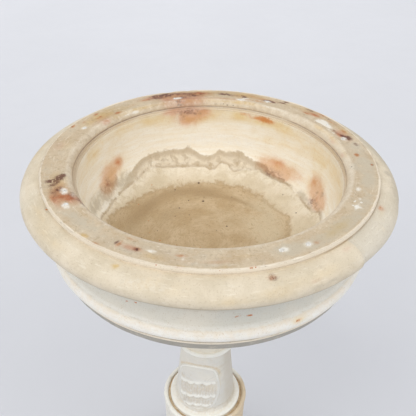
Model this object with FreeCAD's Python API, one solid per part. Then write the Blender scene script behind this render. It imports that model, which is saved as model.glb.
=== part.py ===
"""Marble baptismal font: a round basin on a turned shaft, a drum, a moulded base and a square plinth.

Millimetres, +Z up. The origin is the middle of the plinth's underside, so the font stands on z = 0.
The stones are bedded in lime mortar and keyed to each other by iron dowels run in with lead.
"""
import FreeCAD, Part
import math
import os

Vector = FreeCAD.Vector

# ---- driving dimensions ----
TOTAL_HEIGHT = 1000.0
MOUTH_R = 225.0          # edge of the mouth, where the rim's rounding ends
RIM_ROUND = 12.5         # rounding from the flat rim down to the mouth
RIM_R = 277.5            # outer arris of the flat rim
ARRIS_R = 2.0
RIM_FACE = 10.0          # upright face below the arris
QUIRK = 2.5              # groove between that face and the torus

TORUS_MID_R = 279.0
TORUS_REACH = 32.0       # how far the torus stands out from its middle radius
TORUS_HALF_H = 23.0
SOFFIT_R = 266.0         # inner end of the narrow soffit under the torus
COVE_TOP_DROP = 4.5
COVE_R = 251.0           # narrowest radius of the cavetto
ROLL_MID_R = 265.0
ROLL_TOP_Z = 876.0
ROLL_REACH = 9.2
ROLL_HALF_H = 11.3
ROLL_QUIRK = 3.7         # height and depth of the groove under the second roll
FILLET_R = 266.0         # small fillet under the second roll
FILLET_H = 3.8
UNDERSIDE_R = 264.0
UNDERSIDE_LIP = 2.0      # small slope between that fillet and the underside
UNDERSIDE_REACH = 202.0
UNDERSIDE_DEPTH = 65.0
SEAT_R = 103.0           # flat seat of the basin on the shaft
SEAT_Z = 774.0

BOWL_STEP = 5.5          # riser below the mouth's edge
BOWL_R = 219.0
BOWL_DEPTH = 150.0
BOWL_POWER = 3.05        # exponent of the bowl's rounded section
BOWL_POINTS = 9

BED = 4.0                # mortar bed between two stones
BED_MARGIN = 3.0         # how far a bed stays back from the stones' edges

HEAD_R = 99.0            # flared head of the shaft
HEAD_BAND = 10.0
FLARE_R = 96.0
FLARE_STEP = 2.0
NECK_R = 51.0            # narrowest radius above the astragal
NECK_BAND = 3.0
NECK_Z = 600.0
ASTRAGAL_Z = 580.0
ASTRAGAL_MID_R = 56.0
ASTRAGAL_TUBE = 5.0
COLLAR_R = 53.5          # small fillet under the astragal
COLLAR_H = 3.0
COLLAR_COVE = 0.7
CONE_TOP_R = 50.5
CONE_TOP_Z = 563.0
CONE_FOOT_R = 63.0
CONE_FOOT_Z = 425.0
FOOT_R = 76.5            # fillet ring at the foot of the shaft
FOOT_TOP_Z = 408.0
FOOT_ROUND = 2.5
FOOT_COVE = 4.0
FOOT_Z = 397.0

PANEL_Z = 476.0          # middle of the carved panel on the shaft
PANEL_AZIMUTH = -110.0
PANEL_RELIEF = 3.5
# The panel's rounded outline, as distance to the right of its middle and above it.
PANEL_OUTLINE = (
    (-44.0, 35.0),
    (-30.0, 52.0),
    (-12.0, 62.0),
    (8.0, 65.5),
    (25.0, 63.0),
    (37.0, 52.0),
    (44.0, 23.0),
    (47.0, 0.0),
    (46.0, -22.0),
    (40.0, -46.0),
    (22.0, -61.0),
    (-12.0, -64.0),
    (-33.0, -58.0),
    (-45.0, -40.0),
    (-48.0, -12.0),
    (-47.5, 12.0),
)

SOCKET_R = 81.0          # socket in the drum for the shaft's foot
LIP_R = 91.5
LIP_Z = 404.5
LIP_DEPTH = 18.0
LIP_COVE = 2.0
DRUM_R = 89.5
DRUM_WAIST_R = 88.0
DRUM_FLARE_R = 106.0
DRUM_FLARE_H = 44.0
DRUM_FLARE_COVE = 4.5
DRUM_BAND = 12.0
DRUM_Z = 200.0

BASE_TOP_R = 112.0
BASE_TOP_BAND = 10.0
SCOTIA_R = 106.0
SCOTIA_FOOT_R = 130.0
SCOTIA_COVE = 7.0
BASE_FILLET_H = 7.0
BASE_TORUS_R = 148.0
BASE_TORUS_HALF_H = 20.0
PLINTH_TOP = 80.0
PLINTH_SIDE = 315.0
PLINTH_CHAMFER = 4.0

DOWEL_R = 10.0
DOWEL_HOLE_R = 15.0
DOWEL_END_GAP = 3.0
DOWEL_UP = 26.0          # how deep each dowel hole goes into the upper stone
DOWEL_DOWN = 45.0        # and into the lower stone

PLUG_R = 5.0
PLUG_DEPTH = 30.0
STUB_R = 2.2
STUB_DEPTH = 24.0
# Fixings in the flat rim: azimuth in degrees from +X, and radius.
RIM_PLUGS = (
    (-155.0, 243.0),
    (-147.0, 252.0),
    (156.0, 248.0),
    (107.0, 243.0),
    (76.0, 241.0),
    (64.0, 253.0),
    (32.0, 253.0),
    (19.0, 247.0),
    (-58.0, 258.0),
    (-67.0, 253.0),
)
PLUGS_WITH_IRON = (0, 3, 4, 5, 7)
# Lime fillings in chips of the rim: azimuth, radius, half length along the rim, half width, depth.
RIM_FILLS = (
    (37.0, 254.0, 9.0, 6.0, 5.0),
    (25.0, 242.0, 6.0, 4.0, 4.0),
    (-28.5, 253.0, 12.0, 9.0, 5.0),
)

MOUTH_Z = TOTAL_HEIGHT - RIM_ROUND
BOWL_TOP_Z = MOUTH_Z - BOWL_STEP
TORUS_Z = TOTAL_HEIGHT - RIM_FACE - TORUS_HALF_H
ROLL_Z = ROLL_TOP_Z - ROLL_HALF_H
FILLET_TOP_Z = ROLL_Z - ROLL_HALF_H - ROLL_QUIRK
UNDERSIDE_Z = FILLET_TOP_Z - FILLET_H - UNDERSIDE_LIP
HEAD_TOP_Z = SEAT_Z - BED
SOCKET_Z = FOOT_Z - BED
BASE_TOP_Z = DRUM_Z - BED
BASE_Z = PLINTH_TOP + BED


# ---- outlines: x is the radius and y the height, turned about Z ----
def at(radius, height):
    return Vector(radius, height, 0)


def line(start, end):
    return Part.LineSegment(at(*start), at(*end)).toShape()


def lines(*points):
    return [line(start, end) for start, end in zip(points, points[1:])]


def arc(start, middle, end):
    return Part.Arc(at(*start), at(*middle), at(*end)).toShape()


def oval(centre, reach, half_height, first, last):
    """Part of an ellipse about centre, from angle first to angle last in degrees."""
    edge = Part.makeCircle(1.0, Vector(0, 0, 0), Vector(0, 0, 1), first, last)
    stretch = FreeCAD.Matrix()
    stretch.scale(reach, half_height, 1.0)
    edge = edge.transformGeometry(stretch)
    edge.translate(at(*centre))
    return edge


def turned(edges):
    """The solid that an outline sweeps once round the Z axis."""
    face = Part.Face(Part.Wire(Part.__sortEdges__(edges)))
    face.rotate(Vector(0, 0, 0), Vector(1, 0, 0), 90)
    return face.revolve(Vector(0, 0, 0), Vector(0, 0, 1), 360)


def cylinder(radius, low, high):
    return Part.makeCylinder(radius, high - low, Vector(0, 0, low))


def ring(inner, outer, low, high):
    return cylinder(outer, low, high).cut(cylinder(inner, low, high))


def on_rim(azimuth, radius, height):
    angle = math.radians(azimuth)
    return Vector(radius * math.cos(angle), radius * math.sin(angle), height)


def dowel_hole(seat_top, seat_low):
    """Hole for one dowel: up into the stone whose seat is seat_top, down into the one below."""
    return cylinder(DOWEL_HOLE_R, seat_low - DOWEL_DOWN, seat_top + DOWEL_UP)


# ---- the stones ----
def bowl_edge():
    """Section of the bowl from its mouth to its middle, a rounded curve with a flat dish."""
    points = []
    for step in range(BOWL_POINTS):
        angle = math.pi / 2 * step / (BOWL_POINTS - 1)
        out = max(math.cos(angle), 0.0) ** (2 / BOWL_POWER)
        down = math.sin(angle) ** (2 / BOWL_POWER)
        points.append(at(BOWL_R * out, BOWL_TOP_Z - BOWL_DEPTH * down))
    curve = Part.BSplineCurve()
    curve.interpolate(Points=points, InitialTangent=Vector(0, -1, 0), FinalTangent=Vector(-1, 0, 0))
    return curve.toShape()


def basin():
    corner = ARRIS_R * (1 - math.sqrt(0.5))
    face_low = TOTAL_HEIGHT - RIM_FACE
    torus_low = TORUS_Z - TORUS_HALF_H
    cove_top = torus_low - COVE_TOP_DROP
    seat_out = (SEAT_R - UNDERSIDE_R + UNDERSIDE_REACH) / UNDERSIDE_REACH
    seat_angle = math.degrees(math.acos(seat_out))
    seat_drop = UNDERSIDE_DEPTH * math.sin(math.radians(seat_angle))
    bowl_low = BOWL_TOP_Z - BOWL_DEPTH
    round_mid = RIM_ROUND * math.sqrt(0.5)
    edges = [
        arc(
            (MOUTH_R, MOUTH_Z),
            (MOUTH_R + RIM_ROUND - round_mid, MOUTH_Z + round_mid),
            (MOUTH_R + RIM_ROUND, TOTAL_HEIGHT),
        ),
        line((MOUTH_R + RIM_ROUND, TOTAL_HEIGHT), (RIM_R - ARRIS_R, TOTAL_HEIGHT)),
        arc(
            (RIM_R - ARRIS_R, TOTAL_HEIGHT),
            (RIM_R - corner, TOTAL_HEIGHT - corner),
            (RIM_R, TOTAL_HEIGHT - ARRIS_R),
        ),
    ]
    edges += lines(
        (RIM_R, TOTAL_HEIGHT - ARRIS_R),
        (RIM_R, face_low + QUIRK / 2),
        (RIM_R - QUIRK, face_low),
        (TORUS_MID_R, face_low),
    )
    edges.append(oval((TORUS_MID_R, TORUS_Z), TORUS_REACH, TORUS_HALF_H, -90, 90))
    edges += lines((TORUS_MID_R, torus_low), (SOFFIT_R, torus_low), (SOFFIT_R, cove_top))
    cove_mid = (COVE_R, (cove_top + ROLL_TOP_Z) / 2)
    edges.append(arc((SOFFIT_R, cove_top), cove_mid, (ROLL_MID_R, ROLL_TOP_Z)))
    edges.append(oval((ROLL_MID_R, ROLL_Z), ROLL_REACH, ROLL_HALF_H, -90, 90))
    roll_low = ROLL_Z - ROLL_HALF_H
    edges += lines(
        (ROLL_MID_R, roll_low),
        (FILLET_R - ROLL_QUIRK, roll_low),
        (FILLET_R - ROLL_QUIRK, FILLET_TOP_Z),
        (FILLET_R, FILLET_TOP_Z),
        (FILLET_R, FILLET_TOP_Z - FILLET_H),
        (UNDERSIDE_R, UNDERSIDE_Z),
    )
    under_centre = (UNDERSIDE_R - UNDERSIDE_REACH, UNDERSIDE_Z)
    edges.append(oval(under_centre, UNDERSIDE_REACH, UNDERSIDE_DEPTH, -seat_angle, 0))
    edges += lines(
        (SEAT_R, UNDERSIDE_Z - seat_drop),
        (SEAT_R, SEAT_Z),
        (0.0, SEAT_Z),
        (0.0, bowl_low),
    )
    edges.append(bowl_edge())
    edges += lines((BOWL_R, BOWL_TOP_Z), (MOUTH_R, BOWL_TOP_Z), (MOUTH_R, MOUTH_Z))
    stone = turned(edges).cut(dowel_hole(SEAT_Z, HEAD_TOP_Z))
    for azimuth, radius in RIM_PLUGS:
        stone = stone.cut(rim_plug_hole(azimuth, radius))
    for fill in RIM_FILLS:
        stone = stone.cut(rim_fill(*fill))
    return stone


def panel_relief():
    """The raised shield of the carved panel, cut to follow the shaft's cone."""
    outline = Part.BSplineCurve()
    outline.interpolate(Points=[Vector(0, x, z) for x, z in PANEL_OUTLINE], PeriodicFlag=True)
    face = Part.Face(Part.Wire([outline.toShape()]))
    prism = face.extrude(Vector(-FOOT_R, 0, 0))
    prism.rotate(Vector(0, 0, 0), Vector(0, 0, 1), PANEL_AZIMUTH + 180.0)
    prism.translate(Vector(0, 0, PANEL_Z))
    taper = (CONE_FOOT_R - CONE_TOP_R) / (CONE_TOP_Z - CONE_FOOT_Z)
    skin = Part.makeCone(
        CONE_FOOT_R + taper * (CONE_FOOT_Z - FOOT_TOP_Z) + PANEL_RELIEF,
        CONE_TOP_R + PANEL_RELIEF,
        CONE_TOP_Z - FOOT_TOP_Z,
        Vector(0, 0, FOOT_TOP_Z),
    )
    return prism.common(skin)


def shaft():
    tube = ASTRAGAL_TUBE
    collar_z = ASTRAGAL_Z - tube
    flare_low = NECK_Z + FLARE_STEP
    flare_high = HEAD_TOP_Z - HEAD_BAND
    foot_cut = FOOT_ROUND * (1 - math.sqrt(0.5))
    foot_side = (FOOT_R, FOOT_TOP_Z - FOOT_ROUND)
    foot_corner = (FOOT_R - foot_cut, FOOT_TOP_Z - foot_cut)
    foot_top = (FOOT_R - FOOT_ROUND, FOOT_TOP_Z)
    foot_cove = ((CONE_FOOT_R + FOOT_R) / 2 - FOOT_COVE, FOOT_TOP_Z + FOOT_COVE)
    edges = lines((0.0, FOOT_Z), (FOOT_R, FOOT_Z), foot_side)
    edges.append(arc(foot_side, foot_corner, foot_top))
    edges.append(arc(foot_top, foot_cove, (CONE_FOOT_R, CONE_FOOT_Z)))
    edges.append(line((CONE_FOOT_R, CONE_FOOT_Z), (CONE_TOP_R, CONE_TOP_Z)))
    edges.append(
        arc(
            (CONE_TOP_R, CONE_TOP_Z),
            (CONE_TOP_R + COLLAR_COVE, (CONE_TOP_Z + collar_z - COLLAR_H) / 2),
            (COLLAR_R, collar_z - COLLAR_H),
        )
    )
    edges += lines((COLLAR_R, collar_z - COLLAR_H), (COLLAR_R, collar_z), (ASTRAGAL_MID_R, collar_z))
    edges.append(oval((ASTRAGAL_MID_R, ASTRAGAL_Z), tube, tube, -90, 90))
    edges += lines(
        (ASTRAGAL_MID_R, ASTRAGAL_Z + tube),
        (NECK_R + NECK_BAND, ASTRAGAL_Z + tube),
        (NECK_R + NECK_BAND, NECK_Z),
        (NECK_R, flare_low),
    )
    edges.append(oval((FLARE_R, flare_low), FLARE_R - NECK_R, flare_high - flare_low, 90, 180))
    edges += lines(
        (FLARE_R, flare_high),
        (HEAD_R, flare_high),
        (HEAD_R, HEAD_TOP_Z),
        (0.0, HEAD_TOP_Z),
        (0.0, FOOT_Z),
    )
    stone = turned(edges).fuse(panel_relief()).removeSplitter()
    return stone.cut([dowel_hole(SEAT_Z, HEAD_TOP_Z), dowel_hole(FOOT_Z, SOCKET_Z)])


def base_drum():
    lip_round = (LIP_R - SOCKET_R) / 2
    lip_mid = (LIP_R + SOCKET_R) / 2
    flare_top = DRUM_Z + DRUM_BAND + DRUM_FLARE_H
    flare_mid = (
        (DRUM_WAIST_R + DRUM_FLARE_R) / 2 - DRUM_FLARE_COVE,
        flare_top - DRUM_FLARE_H / 2 - DRUM_FLARE_COVE,
    )
    edges = [oval((lip_mid, LIP_Z - lip_round), lip_round, lip_round, 0, 180)]
    edges.append(arc(
        (LIP_R, LIP_Z - lip_round),
        ((LIP_R + DRUM_R) / 2, LIP_Z - LIP_DEPTH / 2 - LIP_COVE),
        (DRUM_R, LIP_Z - LIP_DEPTH),
    ))
    edges.append(line((DRUM_R, LIP_Z - LIP_DEPTH), (DRUM_WAIST_R, flare_top)))
    edges.append(arc((DRUM_WAIST_R, flare_top), flare_mid, (DRUM_FLARE_R, DRUM_Z + DRUM_BAND)))
    edges += lines(
        (DRUM_FLARE_R, DRUM_Z + DRUM_BAND),
        (DRUM_FLARE_R, DRUM_Z),
        (0.0, DRUM_Z),
        (0.0, SOCKET_Z),
        (SOCKET_R, SOCKET_Z),
        (SOCKET_R, LIP_Z - lip_round),
    )
    return turned(edges).cut([dowel_hole(FOOT_Z, SOCKET_Z), dowel_hole(DRUM_Z, BASE_TOP_Z)])


def base_torus():
    scotia_top = BASE_TOP_Z - BASE_TOP_BAND
    tube = BASE_TORUS_HALF_H
    torus_mid_r = BASE_TORUS_R - tube
    torus_top = BASE_Z + 2 * tube
    edges = lines((0.0, BASE_Z), (torus_mid_r, BASE_Z))
    edges.append(oval((torus_mid_r, BASE_Z + tube), tube, tube, -90, 90))
    edges += lines(
        (torus_mid_r, torus_top),
        (SCOTIA_FOOT_R, torus_top),
        (SCOTIA_FOOT_R, torus_top + BASE_FILLET_H),
    )
    edges.append(arc(
        (SCOTIA_FOOT_R, torus_top + BASE_FILLET_H),
        (SCOTIA_R + SCOTIA_COVE / 2, torus_top + BASE_FILLET_H + SCOTIA_COVE),
        (SCOTIA_R, scotia_top),
    ))
    edges += lines(
        (SCOTIA_R, scotia_top),
        (BASE_TOP_R, scotia_top),
        (BASE_TOP_R, BASE_TOP_Z),
        (0.0, BASE_TOP_Z),
        (0.0, BASE_Z),
    )
    return turned(edges).cut([dowel_hole(DRUM_Z, BASE_TOP_Z), dowel_hole(BASE_Z, PLINTH_TOP)])


def plinth():
    half = PLINTH_SIDE / 2
    slab = Part.makeBox(PLINTH_SIDE, PLINTH_SIDE, PLINTH_TOP, Vector(-half, -half, 0))
    upper = [edge for edge in slab.Edges if min(v.Z for v in edge.Vertexes) > PLINTH_TOP / 2]
    return slab.makeChamfer(PLINTH_CHAMFER, upper).cut(dowel_hole(BASE_Z, PLINTH_TOP))


# ---- mortar ----
def mortar_bed(seat_top, seat_low, radius):
    return ring(DOWEL_HOLE_R, radius - BED_MARGIN, seat_low, seat_top)


def socket_fill():
    """Bed under the shaft's foot and the ring of mortar round it, in one piece."""
    bed = ring(DOWEL_HOLE_R, SOCKET_R, SOCKET_Z, FOOT_Z)
    collar = ring(FOOT_R, SOCKET_R, FOOT_Z, LIP_Z - (LIP_R - SOCKET_R) / 2)
    return bed.fuse(collar).removeSplitter()


# ---- ironwork and lead ----
def dowel(seat_top, seat_low):
    low = seat_low - DOWEL_DOWN + DOWEL_END_GAP
    high = seat_top + DOWEL_UP - DOWEL_END_GAP
    return cylinder(DOWEL_R, low, high)


def dowel_lead(seat_top, seat_low):
    return dowel_hole(seat_top, seat_low).cut(dowel(seat_top, seat_low))


def rim_plug_hole(azimuth, radius):
    return Part.makeCylinder(PLUG_R, PLUG_DEPTH, on_rim(azimuth, radius, TOTAL_HEIGHT - PLUG_DEPTH))


def rim_stub(azimuth, radius):
    return Part.makeCylinder(STUB_R, STUB_DEPTH, on_rim(azimuth, radius, TOTAL_HEIGHT - STUB_DEPTH))


def rim_plugs():
    plugs = []
    for index, place in enumerate(RIM_PLUGS):
        plug = rim_plug_hole(*place)
        if index in PLUGS_WITH_IRON:
            plug = plug.cut(rim_stub(*place))
        plugs.append(plug)
    return Part.makeCompound(plugs)


def rim_iron_stubs():
    return Part.makeCompound([rim_stub(*RIM_PLUGS[index]) for index in PLUGS_WITH_IRON])


def rim_fill(azimuth, radius, half_length, half_width, depth):
    """A shallow oval pocket or filling in the flat rim, longest along the rim."""
    disc = Part.makeCylinder(1.0, depth, Vector(0, 0, -depth))
    stretch = FreeCAD.Matrix()
    stretch.scale(half_width, half_length, 1.0)
    oval_disc = disc.transformGeometry(stretch)
    oval_disc.rotate(Vector(0, 0, 0), Vector(0, 0, 1), azimuth)
    oval_disc.translate(on_rim(azimuth, radius, TOTAL_HEIGHT))
    return oval_disc


def rim_lime_fills():
    return Part.makeCompound([rim_fill(*fill) for fill in RIM_FILLS])


def build():
    joints = {
        "basin": (SEAT_Z, HEAD_TOP_Z),
        "shaft": (FOOT_Z, SOCKET_Z),
        "drum": (DRUM_Z, BASE_TOP_Z),
        "plinth": (BASE_Z, PLINTH_TOP),
    }
    beds = {"basin": HEAD_R, "drum": DRUM_FLARE_R, "plinth": BASE_TORUS_R - BASE_TORUS_HALF_H}
    nodes = {
        "basin": basin(),
        "shaft": shaft(),
        "base_drum": base_drum(),
        "base_torus": base_torus(),
        "plinth": plinth(),
        "socket_fill": socket_fill(),
        "rim_plugs": rim_plugs(),
        "rim_iron_stubs": rim_iron_stubs(),
        "rim_lime_fills": rim_lime_fills(),
    }
    for name, radius in beds.items():
        nodes[name + "_bed"] = mortar_bed(*joints[name], radius)
    for name, seats in joints.items():
        nodes[name + "_dowel"] = dowel(*seats)
        nodes[name + "_dowel_lead"] = dowel_lead(*seats)
    return nodes


os.makedirs("parts", exist_ok=True)
for node_name, shape in build().items():
    state = "valid" if shape.isValid() else "INVALID"
    litres = shape.Volume / 1e6
    print(f"{node_name}: {state}, {len(shape.Solids)} solids, {litres:.3f} litres")
    shape.exportStep("parts/" + node_name + ".step")
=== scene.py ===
"""Looks of the marble baptismal font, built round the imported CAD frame.

Metres, +Z up, origin under the plinth. Azimuths run from +X towards +Y.
"""

import math

import bmesh
import bpy
import numpy as np
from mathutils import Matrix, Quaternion, Vector


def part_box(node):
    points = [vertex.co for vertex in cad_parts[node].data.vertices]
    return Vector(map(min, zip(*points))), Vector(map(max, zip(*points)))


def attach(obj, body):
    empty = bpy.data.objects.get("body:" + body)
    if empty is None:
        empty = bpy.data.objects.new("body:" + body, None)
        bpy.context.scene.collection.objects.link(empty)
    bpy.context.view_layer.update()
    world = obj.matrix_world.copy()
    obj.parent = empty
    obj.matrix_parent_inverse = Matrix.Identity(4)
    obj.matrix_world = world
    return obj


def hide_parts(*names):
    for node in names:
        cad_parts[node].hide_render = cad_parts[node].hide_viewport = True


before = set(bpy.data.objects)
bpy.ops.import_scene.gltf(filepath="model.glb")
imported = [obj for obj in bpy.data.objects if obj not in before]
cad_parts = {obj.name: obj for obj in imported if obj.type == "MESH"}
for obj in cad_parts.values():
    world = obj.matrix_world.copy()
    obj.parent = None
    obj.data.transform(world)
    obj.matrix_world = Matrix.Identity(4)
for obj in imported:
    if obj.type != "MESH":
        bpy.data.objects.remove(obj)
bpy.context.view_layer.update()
SEED = 7

# ---- places read from the frame ----
BASIN_LOW, BASIN_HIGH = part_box("basin")
SHAFT_LOW, SHAFT_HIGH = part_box("shaft")
DRUM_LOW, DRUM_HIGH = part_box("base_drum")
BASE_LOW, BASE_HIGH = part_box("base_torus")
PLINTH_LOW, PLINTH_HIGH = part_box("plinth")
RIM_Z = BASIN_HIGH.z
TORUS_R = BASIN_HIGH.x

# ---- the basin's section ----
MOUTH_R = 0.225
RIM_ROUND = 0.0125
RIM_R = 0.2775
RIM_FACE = 0.010
QUIRK = 0.0025
TORUS_MID_R = 0.279
TORUS_HALF_H = 0.023
SOFFIT_R = 0.266
COVE_TOP_DROP = 0.0045
COVE_R = 0.251
ROLL_MID_R = 0.265
ROLL_TOP = 0.876
ROLL_REACH = 0.0092
ROLL_HALF_H = 0.0113
FILLET_R = 0.266
FILLET_H = 0.0038
FILLET_GAP = 0.0037
FILLET_TOP = ROLL_TOP - 2 * ROLL_HALF_H - FILLET_GAP
UNDERSIDE_R = 0.264
UNDERSIDE_LIP = 0.002
UNDERSIDE_REACH = 0.202
UNDERSIDE_DEPTH = 0.065
SEAT_R = 0.103
BOWL_STEP = 0.0055
BOWL_R = 0.219
BOWL_DEPTH = 0.150
BOWL_POWER = 3.05
MOUTH_Z = RIM_Z - RIM_ROUND
FACE_LOW = RIM_Z - RIM_FACE
TORUS_Z = FACE_LOW - TORUS_HALF_H
TORUS_LOW = TORUS_Z - TORUS_HALF_H
LEDGE_Z = MOUTH_Z - BOWL_STEP
BOWL_LOW = LEDGE_Z - BOWL_DEPTH
ROLL_Z = ROLL_TOP - ROLL_HALF_H
UNDERSIDE_Z = FILLET_TOP - FILLET_H - UNDERSIDE_LIP

# ---- the shaft's section ----
HEAD_BAND = 0.010
FLARE_R = 0.096
NECK_R = 0.051
NECK_BAND = 0.003
FLARE_STEP = 0.002
FOOT_ROUND = 0.0025
FOOT_COVE = 0.004
NECK_Z = 0.600
ASTRAGAL_Z = 0.580
ASTRAGAL_MID_R = 0.056
ASTRAGAL_TUBE = 0.005
COLLAR_R = 0.0535
COLLAR_H = 0.003
COLLAR_COVE = 0.0007
CONE_TOP = (0.0505, 0.563)
CONE_FOOT = (0.063, 0.425)
FOOT_R = 0.0765
FOOT_TOP = 0.408

# ---- the drum's section ----
SOCKET_R = 0.081
SOCKET_Z = 0.393
LIP_R = 0.0915
DRUM_R = 0.0895
DRUM_WAIST_R = 0.088
BAND_H = 0.012
DRUM_FLARE_H = 0.044

# ---- the base moulding's section and the plinth ----
BASE_TORUS_H = 0.040
BASE_FILLET_R = 0.130
BASE_FILLET_H = 0.007
BASE_WAIST_R = 0.1095
BASE_SCOTIA_TOP_R = 0.106
BASE_BAND_R = 0.112
BASE_BAND_H = 0.010
PLINTH_CHAMFER = 0.004
PLINTH_MESH = 0.0055     # longest edge of the slab's mesh
PLINTH_KNOCKS = 46

# ---- mesh columns round each stone ----
BASIN_COLUMNS = 348
DRUM_COLUMNS = 256
BASE_COLUMNS = 288

# ---- the camera, as it stands to the rim's middle ----
CAMERA_BACK = 0.8635
CAMERA_RISE = 0.525
CAMERA_DOWN = 35.33
CAMERA_PAN = 0.11
CAMERA_ROLL = 1.20
CAMERA_LENS = 52.18
SENSOR = 36.0

# ---- sRGB colours, 0 to 255: the basin, then the smaller stones ----
BELOW_COOL = (213, 212, 204)
BELOW_WARM = (228, 223, 211)
BELOW_STREAK = (206, 197, 178)
# painted highlight on the roll, where light falls on it from above
ROLL_HIGHLIGHT = (246, 244, 238)
# painted shade on the basin's underside
UNDERSIDE_SHADE = (168, 163, 153)
BAND_DEEP = (210, 196, 170)
BAND_LIGHT = (227, 214, 191)
BAND_WHITE = (240, 232, 216)
REPAIR = (214, 206, 190)
RIM_DEEP = (193, 170, 137)
RIM_LIGHT = (211, 194, 167)
RIM_GREY = (197, 183, 160)
RIM_SPECK = (164, 144, 114)
RIM_CHALK = (233, 222, 203)
MOUTH_DEEP = (216, 200, 174)
MOUTH_LIGHT = (230, 218, 198)
WALL_DEEP = (241, 230, 208)
WALL_LIGHT = (247, 242, 230)
WALL_TAN = (234, 219, 190)
# dirt and painted shade on the ledge under the mouth
LEDGE = (206, 186, 156)
CRUST_GREY = (193, 175, 147)
CRUST_LIGHT = (206, 189, 161)
CRUST_PALE = (230, 217, 194)
CRUST_LINE = (172, 148, 114)
OCHRE = (246, 228, 184)
RUST = (230, 168, 120)
PINK = (236, 198, 186)
UMBER = (234, 204, 184)
PLUM = (138, 98, 88)
DEPOSIT_DEEP = (208, 192, 162)
DEPOSIT_LIGHT = (228, 215, 191)
DEPOSIT_PALE = (238, 228, 208)
SILT_SPOT = (134, 108, 76)
# grey stains, partly painted shade
GREY_STAIN_AND_SHADE = (198, 186, 164)
# dirt and painted shade in the corners below the torus
COOL_GRIME_AND_SHADE = (196, 190, 178)
SILT_DEEP = (184, 158, 120)
SILT_LIGHT = (204, 182, 148)
SILT_DARK = (160, 134, 96)
PALE = (238, 233, 222)
# pale wear on the edges, also a painted highlight
WORN_AND_HIGHLIGHT = (238, 226, 206)
# dirt and painted shade in the corners, and grit
GRIME_AND_CORNER_SHADE = (196, 172, 138)
# painted shadow under the torus
TORUS_SHADOW = (206, 198, 184)
# a line of dirt and painted shade along the crease under the mouth
CREASE = (156, 130, 114)
DARK_DOT = (88, 66, 48)
RUST_DOT = (192, 112, 36)
SHAFT_SHADE = (206, 198, 183)
# painted shade with dirt on the drum's right side
DRUM_SHADE_AND_SOIL = (226, 206, 178)
NECK_CREAM = (240, 230, 208)
SHIELD_GREY = (222, 220, 214)
STAINED = (218, 204, 180)
VEIN = (168, 166, 164)
# pale wear on the smaller stones' edges, also a painted highlight
PALE_WEAR_AND_HIGHLIGHT = (240, 238, 230)
# dirt and painted shade in the shaft's corners and hollows, and grime
SHAFT_GRIME_AND_SHADE = (228, 210, 182)
SHIELD_OCHRE = (238, 218, 186)
# dirt and painted shade in the lower stones' corners, and grime
GROOVE_GRIME_AND_SHADE = (178, 148, 108)
SPLASH = (206, 184, 150)

# ---- the stones' finish ----
SHEEN = (0.12, 0.5)      # how far noise roughens the stone, and its least roughness
STONE_BUMP = 0.0006
GRIT_BUMP = 0.0001


def srgb(red, green, blue):
    """Linear colour from the 0 to 255 values of a colour chart."""
    out = []
    for value in (red, green, blue):
        share = value / 255.0
        out.append(share / 12.92 if share <= 0.04045 else ((share + 0.055) / 1.055) ** 2.4)
    return (*out, 1.0)


def smooth(low, high, value):
    """0 below low, 1 above high, and an S curve between. low may be the greater."""
    share = np.clip((value - low) / (high - low), 0.0, 1.0)
    return share * share * (3.0 - 2.0 * share)


def turn_from(middle, azimuth):
    """Angle from middle to azimuth, in radians from -pi to pi."""
    return (azimuth - middle + math.pi) % (2 * math.pi) - math.pi


def on_ring(azimuth, radius, height):
    """The point at an azimuth in degrees, a radius in mm and a height in metres."""
    turn = math.radians(azimuth)
    return (radius * math.cos(turn) / 1000, radius * math.sin(turn) / 1000, height)


def add(name, data):
    """A new object in the scene that holds data."""
    thing = bpy.data.objects.new(name, data)
    bpy.context.scene.collection.objects.link(thing)
    return thing


def add_smooth(name, vertices, faces):
    mesh = bpy.data.meshes.new(name)
    mesh.from_pydata(vertices, [], faces)
    mesh.polygons.foreach_set("use_smooth", [True] * len(mesh.polygons))
    return add(name, mesh)


def paint(piece, name, values):
    """Stores one number per vertex, for the piece's material to read."""
    layers = piece.data.attributes
    layer = layers.get(name) or layers.new(name, "FLOAT", "POINT")
    layer.data.foreach_set("value", np.asarray(values, np.float32))


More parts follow.
